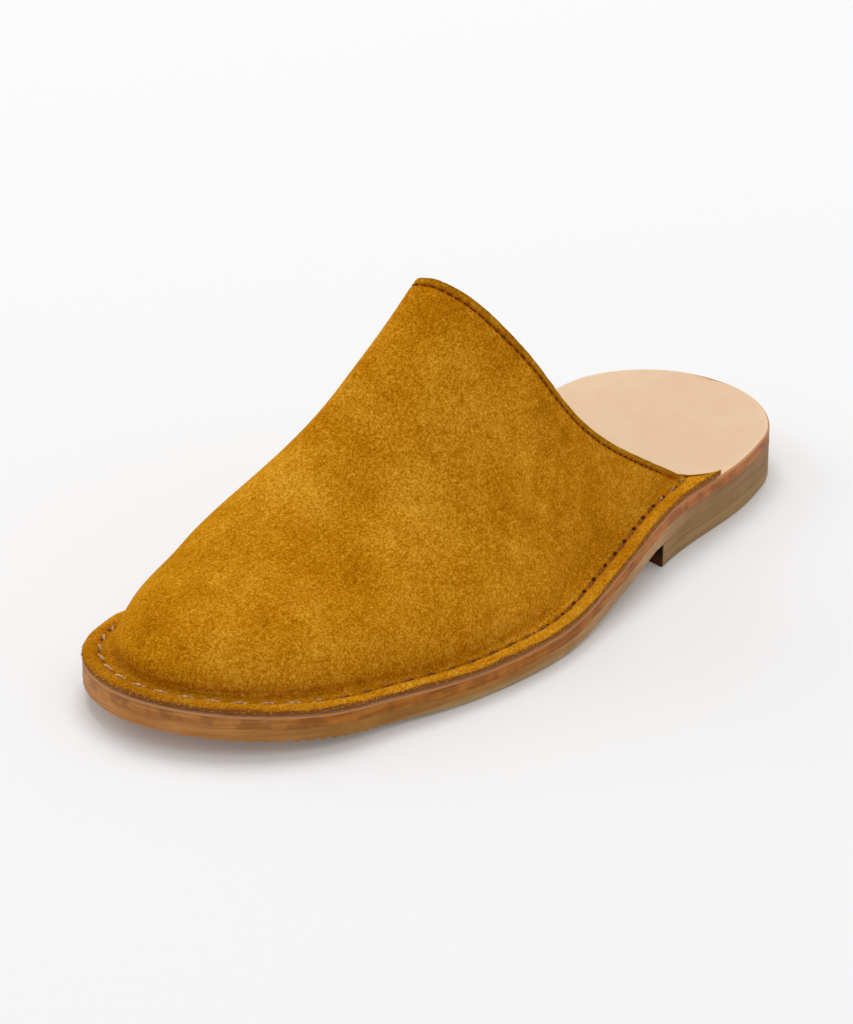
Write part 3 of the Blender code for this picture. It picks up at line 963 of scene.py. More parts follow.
class Tree:
    """A node tree that is written as calls and expressions."""

    def __init__(self, tree):
        self.tree = tree

    def node(self, kind, settings=None, inputs=None):
        """A node of a type, with its settings made first and then its sockets' values or links."""
        node = self.tree.nodes.new(kind)
        for name, value in (settings or {}).items():
            if name == "stops":
                fill_ramp(node.color_ramp, value)
            else:
                setattr(node, name, value)
        for name, value in (inputs or {}).items():
            if isinstance(value, Socket):
                self.tree.links.new(value.socket, node.inputs[name])
            else:
                node.inputs[name].default_value = value
        return Node(self, node)


def fill_ramp(ramp, stops):
    """Sets a colour ramp's stops, each a place and a colour."""
    while len(ramp.elements) > 1:
        ramp.elements.remove(ramp.elements[-1])
    for number, (place, colour) in enumerate(stops):
        element = ramp.elements[0] if number == 0 else ramp.elements.new(place)
        element.position = place
        element.color = (*colour[:3], 1.0)


class Finish(Tree):
    """A material: its node tree, its shader and the patterns that the shoe's finishes share."""

    def __init__(self, name, **sockets):
        self.material = bpy.data.materials.new(name)
        self.material.use_nodes = True
        super().__init__(self.material.node_tree)
        self.shader = self.tree.nodes["Principled BSDF"]
        for socket, value in sockets.items():
            self.shader.inputs[socket.replace("_", " ")].default_value = value
        self.place = self.node("ShaderNodeTexCoord")["Object"]

    def feed(self, socket, value):
        """Links a value or colour to one of the shader's sockets."""
        self.tree.links.new(value.socket, self.shader.inputs[socket])

    def mark(self, name):
        """One of the marks that a mesh carries."""
        return self.node("ShaderNodeAttribute", {"attribute_name": name})["Fac"]

    def stretched(self, scale):
        """The object's coordinates with each axis scaled."""
        return self.node("ShaderNodeMapping", None, {"Vector": self.place, "Scale": scale})["Vector"]

    def noise(self, scale, detail=2.0, roughness=0.5, vector=None, distortion=0.0):
        """Soft noise, about 0.5 on average."""
        inputs = {"Vector": vector or self.place, "Scale": scale, "Detail": detail,
                  "Roughness": roughness, "Distortion": distortion}
        return self.node("ShaderNodeTexNoise", None, inputs)["Fac"]

    def lines(self, roughness):
        """Fine lines that run level round the shoe."""
        return self.noise(1.0, 3.0, roughness, vector=self.stretched((40, 40, 1200)))

    def heelward(self, start, end):
        """0 in front of one place along the shoe and 1 behind another."""
        along = self.node("ShaderNodeSeparateXYZ", None, {0: self.place})["Y"]
        return (along + self.noise(30, 2.0) * 0.02).step(start, end)

    def mix(self, factor, a, b):
        """Colour a turning into colour b."""
        inputs = {0: factor, 6: a if isinstance(a, Socket) else (*a[:3], 1.0),
                  7: b if isinstance(b, Socket) else (*b[:3], 1.0)}
        return self.node("ShaderNodeMix", {"data_type": "RGBA"}, inputs)[2]

    def tinted(self, factor, colour, tint):
        """A colour multiplied by a tint as far as the factor says."""
        inputs = {0: factor, 6: colour, 7: (*tint[:3], 1.0)}
        settings = {"data_type": "RGBA", "blend_type": "MULTIPLY"}
        return self.node("ShaderNodeMix", settings, inputs)[2]

    def ramp(self, value, stops):
        """A value as a colour between stops."""
        return self.node("ShaderNodeValToRGB", {"stops": stops}, {"Fac": value})["Color"]

    def bump(self, height, distance, strength=1.0):
        """Feeds a height to the shader's normal."""
        inputs = {"Height": height, "Distance": distance, "Strength": strength}
        self.feed("Normal", self.node("ShaderNodeBump", None, inputs)["Normal"])


def suede_finish(settings):
    """Golden suede: brushed patches, fine nap, painted light and shade from patches and folds, a darker collar band
    that is partly painted shade, painted shade along the grooves of both seams, and raw rim.
    """
    m = Finish("golden_suede", Roughness=0.95, Specular_IOR_Level=0.0, Sheen_Weight=0.20,
               Sheen_Roughness=0.5, Sheen_Tint=(1.0, 0.60, 0.05, 1.0))
    patches = m.noise(30, 2.5, 0.55, distortion=0.6)
    clouds = m.noise(100, 3.0, 0.6)
    brushed = m.noise(1.0, 3.0, 0.65, vector=m.stretched((900, 420, 560)))
    nap = m.noise(1500, 3.0, 0.75)
    # The tone takes in the painted light and shade of the patches and folds from their mark
    tone = patches * 0.145 + clouds * 0.115 + brushed * 0.20 + nap * 0.54 + m.mark("patch") * 0.035
    dark, middle, light = settings.suede_dark, settings.suede_colour, settings.suede_light
    colour = m.ramp(tone, [(0.36, dark), (0.50, middle), (0.64, light)])
    # The collar band is painted darker and more olive than the wall, partly painted shade where the edge rolls in
    colour = m.tinted(m.mark("band") * 0.55, colour, (0.80, 0.84, 0.62))
    colour = m.tinted(m.mark("edge") * 0.75, colour, (0.55, 0.60, 0.40))
    # Painted shade along the collar's sunken seam line
    colour = m.tinted(m.mark("line") * 0.85, colour, (0.60, 0.30, 0.18))
    toe = (1 - m.heelward(-0.125, -0.085)) * m.mark("flange") * 0.9
    colour = m.tinted(toe, colour, (0.66, 0.60, 0.50))
    # Painted shade in the flange's seam groove, weaker at the toe
    groove = m.mark("groove") * (0.35 + clouds * 0.6) * (0.45 + m.heelward(-0.115, -0.075) * 0.55)
    colour = m.tinted(groove, colour, (0.48, 0.34, 0.20))
    torn = m.noise(1500, 2.0, 0.7)
    edge_share = (m.mark("rim") * 1.7 - torn * 1.1).clamped()
    fibre = m.noise(1700, 1.0).step(0.55, 0.68)
    raw = m.mix(fibre * 0.8, settings.raw_edge_colour, (0.56, 0.28, 0.06))
    colour = m.mix(edge_share, colour, raw)
    colour = m.mix(m.mark("flesh"), colour, settings.lining_colour)
    m.feed("Base Color", colour)
    height = nap * 0.7 + m.noise(2600, 2.0) * 0.3 + brushed * 0.3
    m.bump(height, 0.0005, 0.8)
    return m.material


def lining_finish(settings):
    """Plain tan lining leather with a soft grain."""
    m = Finish("lining_leather", Roughness=0.62, Specular_IOR_Level=0.35)
    tone = m.noise(60, 3.0) * 0.6 + m.noise(900, 2.0) * 0.4
    base = settings.lining_colour
    colour = m.ramp(tone, [(0.35, [c * 0.78 for c in base[:3]]), (0.65, [min(1.0, c * 1.12) for c in base[:3]])])
    colour = m.mix(m.mark("cut") * 0.7, colour, [c * 0.55 for c in base[:3]])
    m.feed("Base Color", colour)
    m.bump(m.noise(1300, 3.0) * 0.7 + m.noise(260, 2.0) * 0.3, 0.0002, 0.4)
    return m.material


def insole_finish(settings):
    """Natural leather, very smooth on top, reddish brown and fibrous along its burnished side, with painted highlights
    along the top's rim and along the side's rounded top, and painted light on the side round the toe.
    """
    m = Finish("natural_leather", Specular_IOR_Level=0.06, Coat_Roughness=0.35)
    side, gap = m.mark("side"), m.mark("rim_gap")
    cloud = m.noise(22, 3.0, 0.5) * 0.6 + m.noise(140, 3.0) * 0.4
    top = settings.insole_colour
    colour = m.ramp(cloud, [(0.36, (top[0] * 0.95, top[1] * 0.92, top[2] * 0.88)), (0.62, top[:3])])
    pores = m.noise(2300, 1.0).step(0.66, 0.76)
    colour = m.tinted(pores * 0.14, colour, (0.62, 0.46, 0.36))
    # Painted highlight along the rim of the top
    pale = (1 - gap.step(0.0008, 0.0020)) * 0.45
    colour = m.mix(pale, colour, settings.insole_rim_highlight_colour)
    burnt = (side + m.noise(90, 2.0) * 0.25).step(0.32, 0.62)
    heelward = m.heelward(-0.01, 0.08)
    brown = m.mix(heelward, settings.insole_edge_colour, settings.insole_heel_colour)
    # Painted light on the side round the toe
    brown = m.mix(m.heelward(-0.125, -0.092), settings.sole_toe_lit_colour, brown)
    lines = m.lines(0.6)
    brown = m.tinted((1 - lines.step(0.36, 0.60)) * 0.75, brown, (0.70, 0.58, 0.48))
    brown = m.tinted((1 - m.noise(130, 3.0).step(0.36, 0.60)) * 0.28, brown, (0.74, 0.62, 0.52))
    brown = m.mix((side - 0.9).step(0.0, 0.1) * m.noise(200, 2.0).step(0.4, 0.6) * 0.35, brown, (0.10, 0.03, 0.01))
    # Painted highlight along the rounded top of the side
    edge_highlight = side.step(0.40, 0.60) * (1 - side.step(0.75, 0.95)) * 0.40
    m.feed("Base Color", m.mix(edge_highlight, m.mix(burnt, colour, brown), settings.insole_edge_highlight_colour))
    m.feed("Roughness", 0.52 - burnt * 0.10 + m.noise(300, 2.0) * 0.08)
    m.feed("Coat Weight", burnt * 0.04 + 0.02)
    grain = m.noise(1700, 2.0) * 0.5 + cloud * 0.5
    m.bump(grain * (1 - burnt) + lines * burnt * 1.6, 0.00012, 0.35)
    return m.material


def edge_stack_finish(name, base, streak):
    """The waxed edge of a stacked layer: fine lines that run round the shoe, with painted shade on the breast, dark
    reddish low down and near black above.
    """
    m = Finish(name, Specular_IOR_Level=0.10)
    lines = m.lines(0.6)
    cloud = m.noise(75, 3.0)
    tone = lines * 0.55 + cloud * 0.45
    colour = m.ramp(tone, [(0.36, [c * 0.80 for c in base[:3]]), (0.50, base[:3]), (0.64, streak[:3])])
    # Painted shade on the breast: dark reddish low down, near black above
    height = m.node("ShaderNodeSeparateXYZ", None, {0: m.place})["Z"]
    breast_shade = m.mix(height.step(0.0008, 0.0045), (0.120, 0.038, 0.006), (0.020, 0.004, 0.001))
    colour = m.mix(m.mark("breast").step(0.02, 0.20) * 0.97, colour, breast_shade)
    m.feed("Base Color", colour)
    m.feed("Roughness", 0.46 + m.noise(180, 2.0) * 0.22)
    m.bump(lines * 0.6 + m.noise(900, 2.0) * 0.4, 0.00012, 0.4)
    return m.material


def outsole_finish(settings):
    """Brown rubber: orange brown over tan along the forepart, the tan partly the tread's paler rubber and partly
    painted light thrown up from the floor, painted light on the side round the toe, paler along the waist, grey brown
    at the heel.
    """
    m = Finish("brown_rubber", Specular_IOR_Level=0.10)
    place = m.node("ShaderNodeSeparateXYZ", None, {0: m.place})
    # Paler towards the tread: partly the tread's paler rubber, partly painted light thrown up from the floor
    spring = (1 - m.heelward(-0.138, -0.085)) * 0.0030
    low = 1 - (place["Z"] - spring + m.noise(160, 2.0) * 0.0008).step(0.0014, 0.0034)
    # Painted light on the side round the toe
    fore = m.mix(m.heelward(-0.125, -0.092), settings.sole_toe_lit_colour, settings.outsole_colour)
    fore = m.mix(low, fore, settings.outsole_low_and_lit_colour)
    base = m.mix(m.heelward(-0.035, 0.015), fore, settings.outsole_waist_colour)
    base = m.mix(m.heelward(0.045, 0.085), base, settings.outsole_heel_colour)
    lines, cloud = m.lines(0.6), m.noise(90, 3.0)
    shade = (lines * 0.55 + cloud * 0.45).step(0.38, 0.60)
    m.feed("Base Color", m.tinted((1 - shade) * 0.8, base, (0.70, 0.64, 0.58)))
    m.feed("Roughness", 0.48 + cloud * 0.2)
    m.bump(lines * 0.5 + m.noise(1000, 2.0) * 0.5, 0.00014, 0.4)
    return m.material


def thread_finish(name, colour, toe_colour=None):
    """Waxed thread, paler at the toe where a second colour is given."""
    m = Finish(name, Roughness=0.8, Specular_IOR_Level=0.06)
    pale = (1 - m.heelward(-0.105, -0.085)) + m.heelward(0.052, 0.062) * 0.6 if toe_colour else 0.0
    shown = m.mix(pale, colour, toe_colour) if toe_colour else colour
    tone = m.noise(700, 2.0)
    dull = m.tinted((1 - tone.step(0.38, 0.62)) * 0.8, shown, (0.55, 0.48, 0.42)) if toe_colour else m.ramp(
        tone, [(0.35, [c * 0.6 for c in colour[:3]]), (0.65, colour[:3])])
    m.feed("Base Color", dull)
    m.bump(m.noise(4200, 1.0), 0.00008, 0.4)
    return m.material


def hole_shade_finish():
    """Painted shade inside an awl hole, fainter at the toe."""
    m = Finish("awl_hole", Specular_IOR_Level=0.1)
    tone = m.noise(900, 1.0)
    dark = m.ramp(tone, [(0.3, (0.050, 0.014, 0.002)), (0.7, (0.110, 0.032, 0.005))])
    m.feed("Base Color", m.mix((1 - m.heelward(-0.105, -0.085)) * 0.7, dark, (0.300, 0.105, 0.020)))
    m.feed("Roughness", 0.85 + tone * 0.1)
    return m.material


def floor_finish(settings):
    """Plain pale floor, lit a little from below like a light table."""
    floor = settings.floor_colour
    m = Finish("pale_floor", Specular_IOR_Level=0.0, Emission_Color=(1.0, 1.0, 1.0, 1.0),
               Emission_Strength=settings.floor_glow)
    tone = m.noise(3.0, 1.0)
    m.feed("Base Color", m.ramp(tone, [(0.2, [c * 0.998 for c in floor[:3]]), (0.8, floor[:3])]))
    m.feed("Roughness", 0.9 + tone * 0.02)
    return m.material


def new_group(name, inputs):
    """A Geometry Nodes tree with named inputs, each a socket type and a default."""
    tree = bpy.data.node_groups.new(name, "GeometryNodeTree")
    tree.interface.new_socket("Geometry", in_out="INPUT", socket_type="NodeSocketGeometry")
    for label, (kind, value) in inputs.items():
        socket = tree.interface.new_socket(label, in_out="INPUT", socket_type="NodeSocket" + kind)
        if value is not None:
            socket.default_value = value
    tree.interface.new_socket("Geometry", in_out="OUTPUT", socket_type="NodeSocketGeometry")
    return Tree(tree)


def along_seam(t, ends, spacing, shift):
    """Points along the seam's path with the rotation that lays X along it and Z off the surface."""
    curve = t.node("GeometryNodeMeshToCurve", None, {"Mesh": ends["Geometry"]})["Curve"]
    points = t.node("GeometryNodeCurveToPoints", {"mode": "LENGTH"}, {"Curve": curve, "Length": spacing})
    off = t.node("GeometryNodeInputNamedAttribute", {"data_type": "FLOAT_VECTOR"}, {"Name": "off"})["Attribute"]
    turn = t.node("FunctionNodeAxesToRotation", {"primary_axis": "Z", "secondary_axis": "X"},
                  {"Primary Axis": off, "Secondary Axis": points["Tangent"]})["Rotation"]
    return points["Points"], turn, shift


def stitch_group():
    """Stitches along a path: arched lengths of twisted thread that dive in at both ends."""
    t = new_group("stitches", {
        "Pitch": ("Float", 0.006), "Cover": ("Float", 0.8), "Thread Radius": ("Float", 0.0004),
        "Rise": ("Float", 0.0003), "Lean": ("Float", 0.05), "Seed": ("Int", 3), "Material": ("Material", None),
    })
    ends = t.node("NodeGroupInput")
    points, turn, _ = along_seam(t, ends, ends["Pitch"], 0.0)
    half = ends["Pitch"] * ends["Cover"] * 0.5
    dip = ends["Thread Radius"] * -1.1

    def vector(x, y, z):
        return t.node("ShaderNodeCombineXYZ", None, {"X": x, "Y": y, "Z": z})[0]

    arc = t.node("GeometryNodeCurveQuadraticBezier", None, {
        "Resolution": 10, "Start": vector(half * -1.0, 0.0, dip), "Middle": vector(0.0, 0.0, ends["Rise"] * 2.0),
        "End": vector(half, 0.0, dip)})["Curve"]
    share = t.node("GeometryNodeSplineParameter")["Factor"]
    arc = t.node("GeometryNodeSetCurveTilt", None, {"Curve": arc, "Tilt": share * 7.0})["Curve"]
    ply = t.node("GeometryNodeCurveStar", None, {
        "Points": 3, "Inner Radius": ends["Thread Radius"] * 0.74, "Outer Radius": ends["Thread Radius"]})["Curve"]
    girth = (share * (1.0 - share) * 4.0) ** 0.5 * 0.55 + 0.45
    thread = t.node("GeometryNodeCurveToMesh", None, {
        "Curve": arc, "Profile Curve": ply, "Scale": girth, "Fill Caps": True})["Mesh"]
    thread = t.node("GeometryNodeSetShadeSmooth", None, {"Geometry": thread})["Geometry"]
    sway = t.node("FunctionNodeRandomValue", {"data_type": "FLOAT"},
                  {2: ends["Lean"] * -1.0, 3: ends["Lean"], "Seed": ends["Seed"]})[1]
    lean = t.node("ShaderNodeCombineXYZ", None, {"Z": sway + ends["Lean"] * 2.0})[0]
    placed = t.node("GeometryNodeInstanceOnPoints", None,
                    {"Points": points, "Instance": thread, "Rotation": turn})["Instances"]
    placed = t.node("GeometryNodeRotateInstances", None, {"Instances": placed, "Rotation": lean})["Instances"]
    real = t.node("GeometryNodeRealizeInstances", None, {"Geometry": placed})["Geometry"]
    done = t.node("GeometryNodeSetMaterial", None, {"Geometry": real, "Material": ends["Material"]})["Geometry"]
    t.node("NodeGroupOutput", None, {"Geometry": done})
    return t.tree


def hole_group():
    """Awl holes between the stitches: small dimples, painted dark for the shade inside them, set halfway along each
    pitch.
    """
    t = new_group("awl_holes", {
        "Pitch": ("Float", 0.006), "Radius": ("Float", 0.0005), "Stretch": ("Float", 1.4),
        "Seed": ("Int", 5), "Material": ("Material", None),
    })
    ends = t.node("NodeGroupInput")
    points, turn, _ = along_seam(t, ends, ends["Pitch"], 0.5)
    dimple = t.node("GeometryNodeMeshCone", None, {
        "Vertices": 10, "Side Segments": 1, "Radius Top": ends["Radius"] * 0.8, "Radius Bottom": ends["Radius"],
        "Depth": ends["Radius"] * 0.5})["Mesh"]
    size = t.node("FunctionNodeRandomValue", {"data_type": "FLOAT"}, {2: 0.8, 3: 1.15, "Seed": ends["Seed"]})[1]
    scale = t.node("ShaderNodeCombineXYZ", None, {"X": size * ends["Stretch"], "Y": size, "Z": 1.0})[0]
    placed = t.node("GeometryNodeInstanceOnPoints", None,
                    {"Points": points, "Instance": dimple, "Rotation": turn, "Scale": scale})["Instances"]
    shift = t.node("ShaderNodeCombineXYZ", None, {"X": ends["Pitch"] * 0.5, "Z": ends["Radius"] * -0.3})[0]
    placed = t.node("GeometryNodeTranslateInstances", None,
                    {"Instances": placed, "Translation": shift, "Local Space": True})["Instances"]
    real = t.node("GeometryNodeRealizeInstances", None, {"Geometry": placed})["Geometry"]
    done = t.node("GeometryNodeSetMaterial", None, {"Geometry": real, "Material": ends["Material"]})["Geometry"]
    t.node("NodeGroupOutput", None, {"Geometry": done})
    return t.tree


def fibre_group():
    """Loose fibres along the raw edge: short bent hairs that point out and droop."""
    t = new_group("edge_fibres", {
        "Spacing": ("Float", 0.0005), "Length": ("Float", 0.0006), "Radius": ("Float", 0.00004),
        "Seed": ("Int", 11), "Material": ("Material", None),
    })
    ends = t.node("NodeGroupInput")
    points, turn, _ = along_seam(t, ends, ends["Spacing"], 0.0)

    def vector(x, y, z):
        return t.node("ShaderNodeCombineXYZ", None, {"X": x, "Y": y, "Z": z})[0]

    hair = t.node("GeometryNodeCurveQuadraticBezier", None, {
        "Resolution": 3, "Start": vector(0.0, 0.0, 0.0), "Middle": vector(ends["Length"] * 0.3, 0.0, ends["Length"] * 0.6),
        "End": vector(ends["Length"] * 0.7, 0.0, ends["Length"] * 0.8)})["Curve"]
    ring = t.node("GeometryNodeCurvePrimitiveCircle", None, {"Resolution": 3, "Radius": ends["Radius"]})["Curve"]
    hair = t.node("GeometryNodeCurveToMesh", None, {"Curve": hair, "Profile Curve": ring, "Fill Caps": True})["Mesh"]
    spin = t.node("FunctionNodeRandomValue", {"data_type": "FLOAT_VECTOR"},
                  {0: (-0.9, -0.7, -3.1), 1: (0.9, 0.7, 3.1), "Seed": ends["Seed"]})[0]
    size = t.node("FunctionNodeRandomValue", {"data_type": "FLOAT"}, {2: 0.35, 3: 1.2, "Seed": ends["Seed"] + 1})[1]
    placed = t.node("GeometryNodeInstanceOnPoints", None,
                    {"Points": points, "Instance": hair, "Rotation": turn, "Scale": size})["Instances"]
    placed = t.node("GeometryNodeRotateInstances", None, {"Instances": placed, "Rotation": spin})["Instances"]
    real = t.node("GeometryNodeRealizeInstances", None, {"Geometry": placed})["Geometry"]
    done = t.node("GeometryNodeSetMaterial", None, {"Geometry": real, "Material": ends["Material"]})["Geometry"]
    t.node("NodeGroupOutput", None, {"Geometry": done})
    return t.tree


def grow_along(name, path, off, group, values):
    """Runs a tree on a path and keeps the result as a plain mesh piece."""
    mesh = bpy.data.meshes.new(name + "_path")
    count = len(path)
    mesh.from_pydata(path.tolist(), [(k, k + 1) for k in range(count - 1)], [])
    mesh.attributes.new("off", "FLOAT_VECTOR", "POINT").data.foreach_set("vector", off.astype(np.float32).ravel())
    source = bpy.data.objects.new(name + "_path", mesh)
    bpy.context.scene.collection.objects.link(source)
    modifier = source.modifiers.new("grow", "NODES")
    modifier.node_group = group
    for item in group.interface.items_tree:
        if item.in_out == "INPUT" and item.name in values:
            modifier[item.identifier] = values[item.name]
    source.update_tag()
    bpy.context.view_layer.update()
    evaluated = source.evaluated_get(bpy.context.evaluated_depsgraph_get())
    result = bpy.data.meshes.new_from_object(evaluated)
    source.modifiers.clear()
    bpy.data.objects.remove(source)
    if not result.polygons:
        raise RuntimeError(f"{name} came out empty")
    for attribute in [a.name for a in result.attributes if a.name == "off"]:
        result.attributes.remove(result.attributes[attribute])
    obj = bpy.data.objects.new(name, result)
    bpy.context.scene.collection.objects.link(obj)
    return place_piece(obj)


def crossing(grid, distance, values):
    """Where a distance that falls along each row of a grid takes the row's value."""
    points = []
    for row, gaps, value in zip(grid, distance, values):
        points.append([np.interp(value, gaps[::-1], row[::-1, k]) for k in range(3)])
    return np.array(points)


def welt_path(upper, settings):
    """The stitch line on the flange in space, with the way off it."""
    lines = []
    for side in (1, -1):
        top, from_rim, _ = flange_grid(upper, side, settings)
        lines.append(crossing(top, from_rim, upper["inset"]))
    path = refined(np.concatenate([lines[0], lines[1][::-1][1:]]), 900)
    travelled = np.cumsum(np.linalg.norm(np.gradient(path, axis=0), axis=1))
    path = path[(travelled > settings.welt_start) & (travelled < travelled[-1] - settings.welt_stop)]
    off = np.tile((0.0, 0.0, 1.0), (len(path), 1))
    path[:, 2] = underside(path[:, 1]) + FLANGE_TOP - settings.welt_depth
    return path, off


def collar_path(upper, settings):
    """The stitch line along the collar, a fixed way in from its edge."""
    grid = np.concatenate([upper["outside"], upper["normal"]], axis=2).transpose(1, 0, 2)
    gaps = upper["collar_gap"].T
    rows = []
    for row, gap, inset in zip(grid, gaps, upper["collar_inset"]):
        last = int(np.argmax(gap > 2 * inset)) or len(gap)
        rows.append([np.interp(inset, gap[:last], row[:last, k]) for k in range(6)])
    rows = refined(np.array(rows), 700)
    travelled = np.cumsum(np.linalg.norm(np.gradient(rows[:, :3], axis=0), axis=1))
    rows = rows[(travelled > settings.collar_stop) & (travelled < travelled[-1] - settings.collar_stop)]
    return rows[:, :3], rows[:, 3:] / np.linalg.norm(rows[:, 3:], axis=1, keepdims=True)


def rim_path(upper, side, settings):
    """The raw edge of the flange on one side and the way out of it."""
    top, _, travelled = flange_grid(upper, side, settings)
    rim = flange_rim(top, side, travelled)[:, 1]
    centre = rim.copy()
    path = refined(rim, 900)
    tangent = np.gradient(path, axis=0)
    out = side * np.stack([-tangent[:, 1], tangent[:, 0], np.zeros(len(path))], axis=1)
    return path, out / np.linalg.norm(out, axis=1, keepdims=True)


def metres(name, text, value):
    """A length that the user may change."""
    return bpy.props.FloatProperty(name=name, description=text, default=value, unit="LENGTH", precision=5)


def colour(name, text, value):
    """A colour that the user may change."""
    return bpy.props.FloatVectorProperty(
        name=name, description=text, default=value, size=3, subtype="COLOR", min=0.0, max=1.0)


class SlipperSettings(bpy.types.PropertyGroup):
    """Sizes and colours of the slipper's dressing."""

    suede_thickness: metres("Suede thickness", "Thickness of the suede above its lining", 0.0013)
    collar_inset: metres("Collar seam inset", "From the collar's edge to its seam", 0.0026)
    collar_roll: metres("Collar roll", "How far the collar's edge rolls inwards", 0.0003)
    collar_lip: metres("Collar lip", "Radius of the collar's cut edge", 0.0004)
    collar_pitch: metres("Collar stitch", "From one collar stitch to the next", 0.0028)
    collar_stop: metres("Collar seam end", "How far from the collar's ends its seam stops", 0.009)
    seam_depth: metres("Collar seam depth", "How deep the collar's seam lies", 0.00035)
    toe_swell: metres("Toe swell", "How far the toe swells out above its flange", 0.0007)
    feather_radius: metres("Feather radius", "Radius where the wall turns into the flange", 0.0013)
    welt_inset: metres("Flange seam inset", "From the flange's raw edge to its seam", 0.0049)
    welt_start: metres("Flange seam start", "How far from the outer tail's end its seam starts", 0.0033)
    welt_stop: metres("Flange seam stop", "How far from the inner tail's end it stops", 0.0062)
    welt_pitch: metres("Flange stitch", "From one flange stitch to the next", 0.0072)
    welt_depth: metres("Flange seam depth", "How deep the flange's seam lies", 0.00050)
    hole_depth: metres("Hole depth", "How much deeper the seam lies at its holes", 0.00040)
    rim_round: metres("Raw edge round", "How far in the flange begins to round over", 0.0014)
    rim_drop: metres("Raw edge drop", "How far it has rounded down at its edge", 0.0011)
    insole_round: metres("Insole edge radius", "Radius of the insole's top edge", 0.0009)
    insole_dish: metres("Insole dish", "How far the insole's middle lies below its rim", 0.0004)
    tread_pitch: metres("Rib pitch", "From one rib of the tread to the next", 0.0031)
    tread_depth: metres("Rib depth", "Depth of the tread's ribs", 0.0007)
    suede_dark: colour("Suede, dark", "Suede brushed against its nap", (0.262, 0.071, 0.0006))
    suede_colour: colour("Suede", "Suede at rest", (0.534, 0.198, 0.0024))
    suede_light: colour("Suede, light", "Suede brushed with its nap", (0.850, 0.426, 0.0400))
    raw_edge_colour: colour("Raw edge", "Cut edge of the suede", (0.260, 0.078, 0.018))
    lining_colour: colour("Lining", "Lining leather", (0.400, 0.210, 0.095))
    insole_colour: colour("Insole", "Top of the insole", (0.775, 0.549, 0.364))
    # Painted highlight along the insole top's rim
    insole_rim_highlight_colour: colour("Insole rim", "Rim of the insole's top", (0.820, 0.604, 0.412))
    insole_edge_colour: colour("Insole edge", "Burnished side of the insole", (0.500, 0.185, 0.030))
    insole_heel_colour: colour("Insole edge, heel", "Burnished side round the heel", (0.570, 0.213, 0.060))
    outsole_colour: colour("Outsole", "Rubber along the forepart", (0.440, 0.205, 0.050))
    # Painted light on the sole's side round the toe
    sole_toe_lit_colour: colour("Sole, toe", "Side of the sole round the toe", (0.560, 0.245, 0.070))
    # Painted highlight along the top of the insole's side
    insole_edge_highlight_colour: colour("Insole edge, light", "Light line along the side's top", (0.800, 0.440, 0.240))
    # Partly the tread's paler rubber, partly painted light thrown up from the floor
    outsole_low_and_lit_colour: colour("Outsole, low", "Rubber at the tread", (0.560, 0.390, 0.200))
    outsole_waist_colour: colour("Outsole waist", "Rubber along the waist", (0.540, 0.320, 0.155))
    outsole_heel_colour: colour("Outsole heel", "Rubber along the heel", (0.350, 0.200, 0.086))
    heel_colour: colour("Heel lift", "Waxed edge of the lift", (0.320, 0.184, 0.076))
    heel_streak_colour: colour("Heel streaks", "Light lines in the lift", (0.370, 0.225, 0.100))
    top_piece_colour: colour("Top piece", "Bottom layer of the heel", (0.370, 0.225, 0.096))
    top_piece_streak_colour: colour("Top piece streaks", "Light lines in the bottom layer", (0.420, 0.262, 0.118))
    thread_colour: colour("Flange thread", "Thread through the flange", (0.340, 0.125, 0.028))
    toe_thread_colour: colour("Toe thread", "The same thread at the toe", (0.720, 0.430, 0.205))
    collar_thread_colour: colour("Collar thread", "Thread along the collar", (0.200, 0.045, 0.008))
    floor_colour: colour("Floor", "Plain pale floor", (0.770, 0.770, 0.770))
    floor_glow: bpy.props.FloatProperty(
        name="Floor glow", description="Light that the floor gives off", default=0.10, min=0.0, max=1.0)


class SlipperOperator:
    """What the slipper's operators share."""

    bl_options = {"REGISTER", "UNDO"}

    def execute(self, context):
        self.build(context.scene.slipper)
        return {"FINISHED"}


class SLIPPER_OT_suede(SlipperOperator, bpy.types.Operator):
    """Adds the suede upper with its flange"""

    bl_idname = "slipper.suede"
    bl_label = "Suede upper"

    def build(self, settings):
        add_suede(settings, suede_finish(settings))


class SLIPPER_OT_lining(SlipperOperator, bpy.types.Operator):
    """Adds the lining inside the upper"""

    bl_idname = "slipper.lining"
    bl_label = "Lining"

    def build(self, settings):
        add_lining(settings, lining_finish(settings))


class SLIPPER_OT_seams(SlipperOperator, bpy.types.Operator):
    """Adds the stitches of collar and flange with their awl holes"""

    bl_idname = "slipper.seams"
    bl_label = "Seams"

    def build(self, settings):
        upper = dressed_upper(settings)
        stitches, holes = stitch_group(), hole_group()
        # Painted shade for the awl holes
        dark = hole_shade_finish()
        seams = (
            ("welt", welt_path(upper, settings), settings.welt_pitch, 0.00056, 0.00046, 0.80, 0.10, 0.00058,
             thread_finish("flange_thread", settings.thread_colour, settings.toe_thread_colour)),
            ("collar", collar_path(upper, settings), settings.collar_pitch, 0.00034, 0.00021, 0.66, 0.05, 0.00026,
             thread_finish("collar_thread", settings.collar_thread_colour)),
        )
        for name, (path, off), pitch, radius, rise, cover, lean, hole, thread in seams:
            grow_along(name + "_stitches", path, off, stitches, {
                "Pitch": pitch, "Cover": cover, "Thread Radius": radius, "Rise": rise, "Lean": lean,
                "Material": thread})
            grow_along(name + "_holes", path, off, holes, {
                "Pitch": pitch, "Radius": hole, "Material": dark})


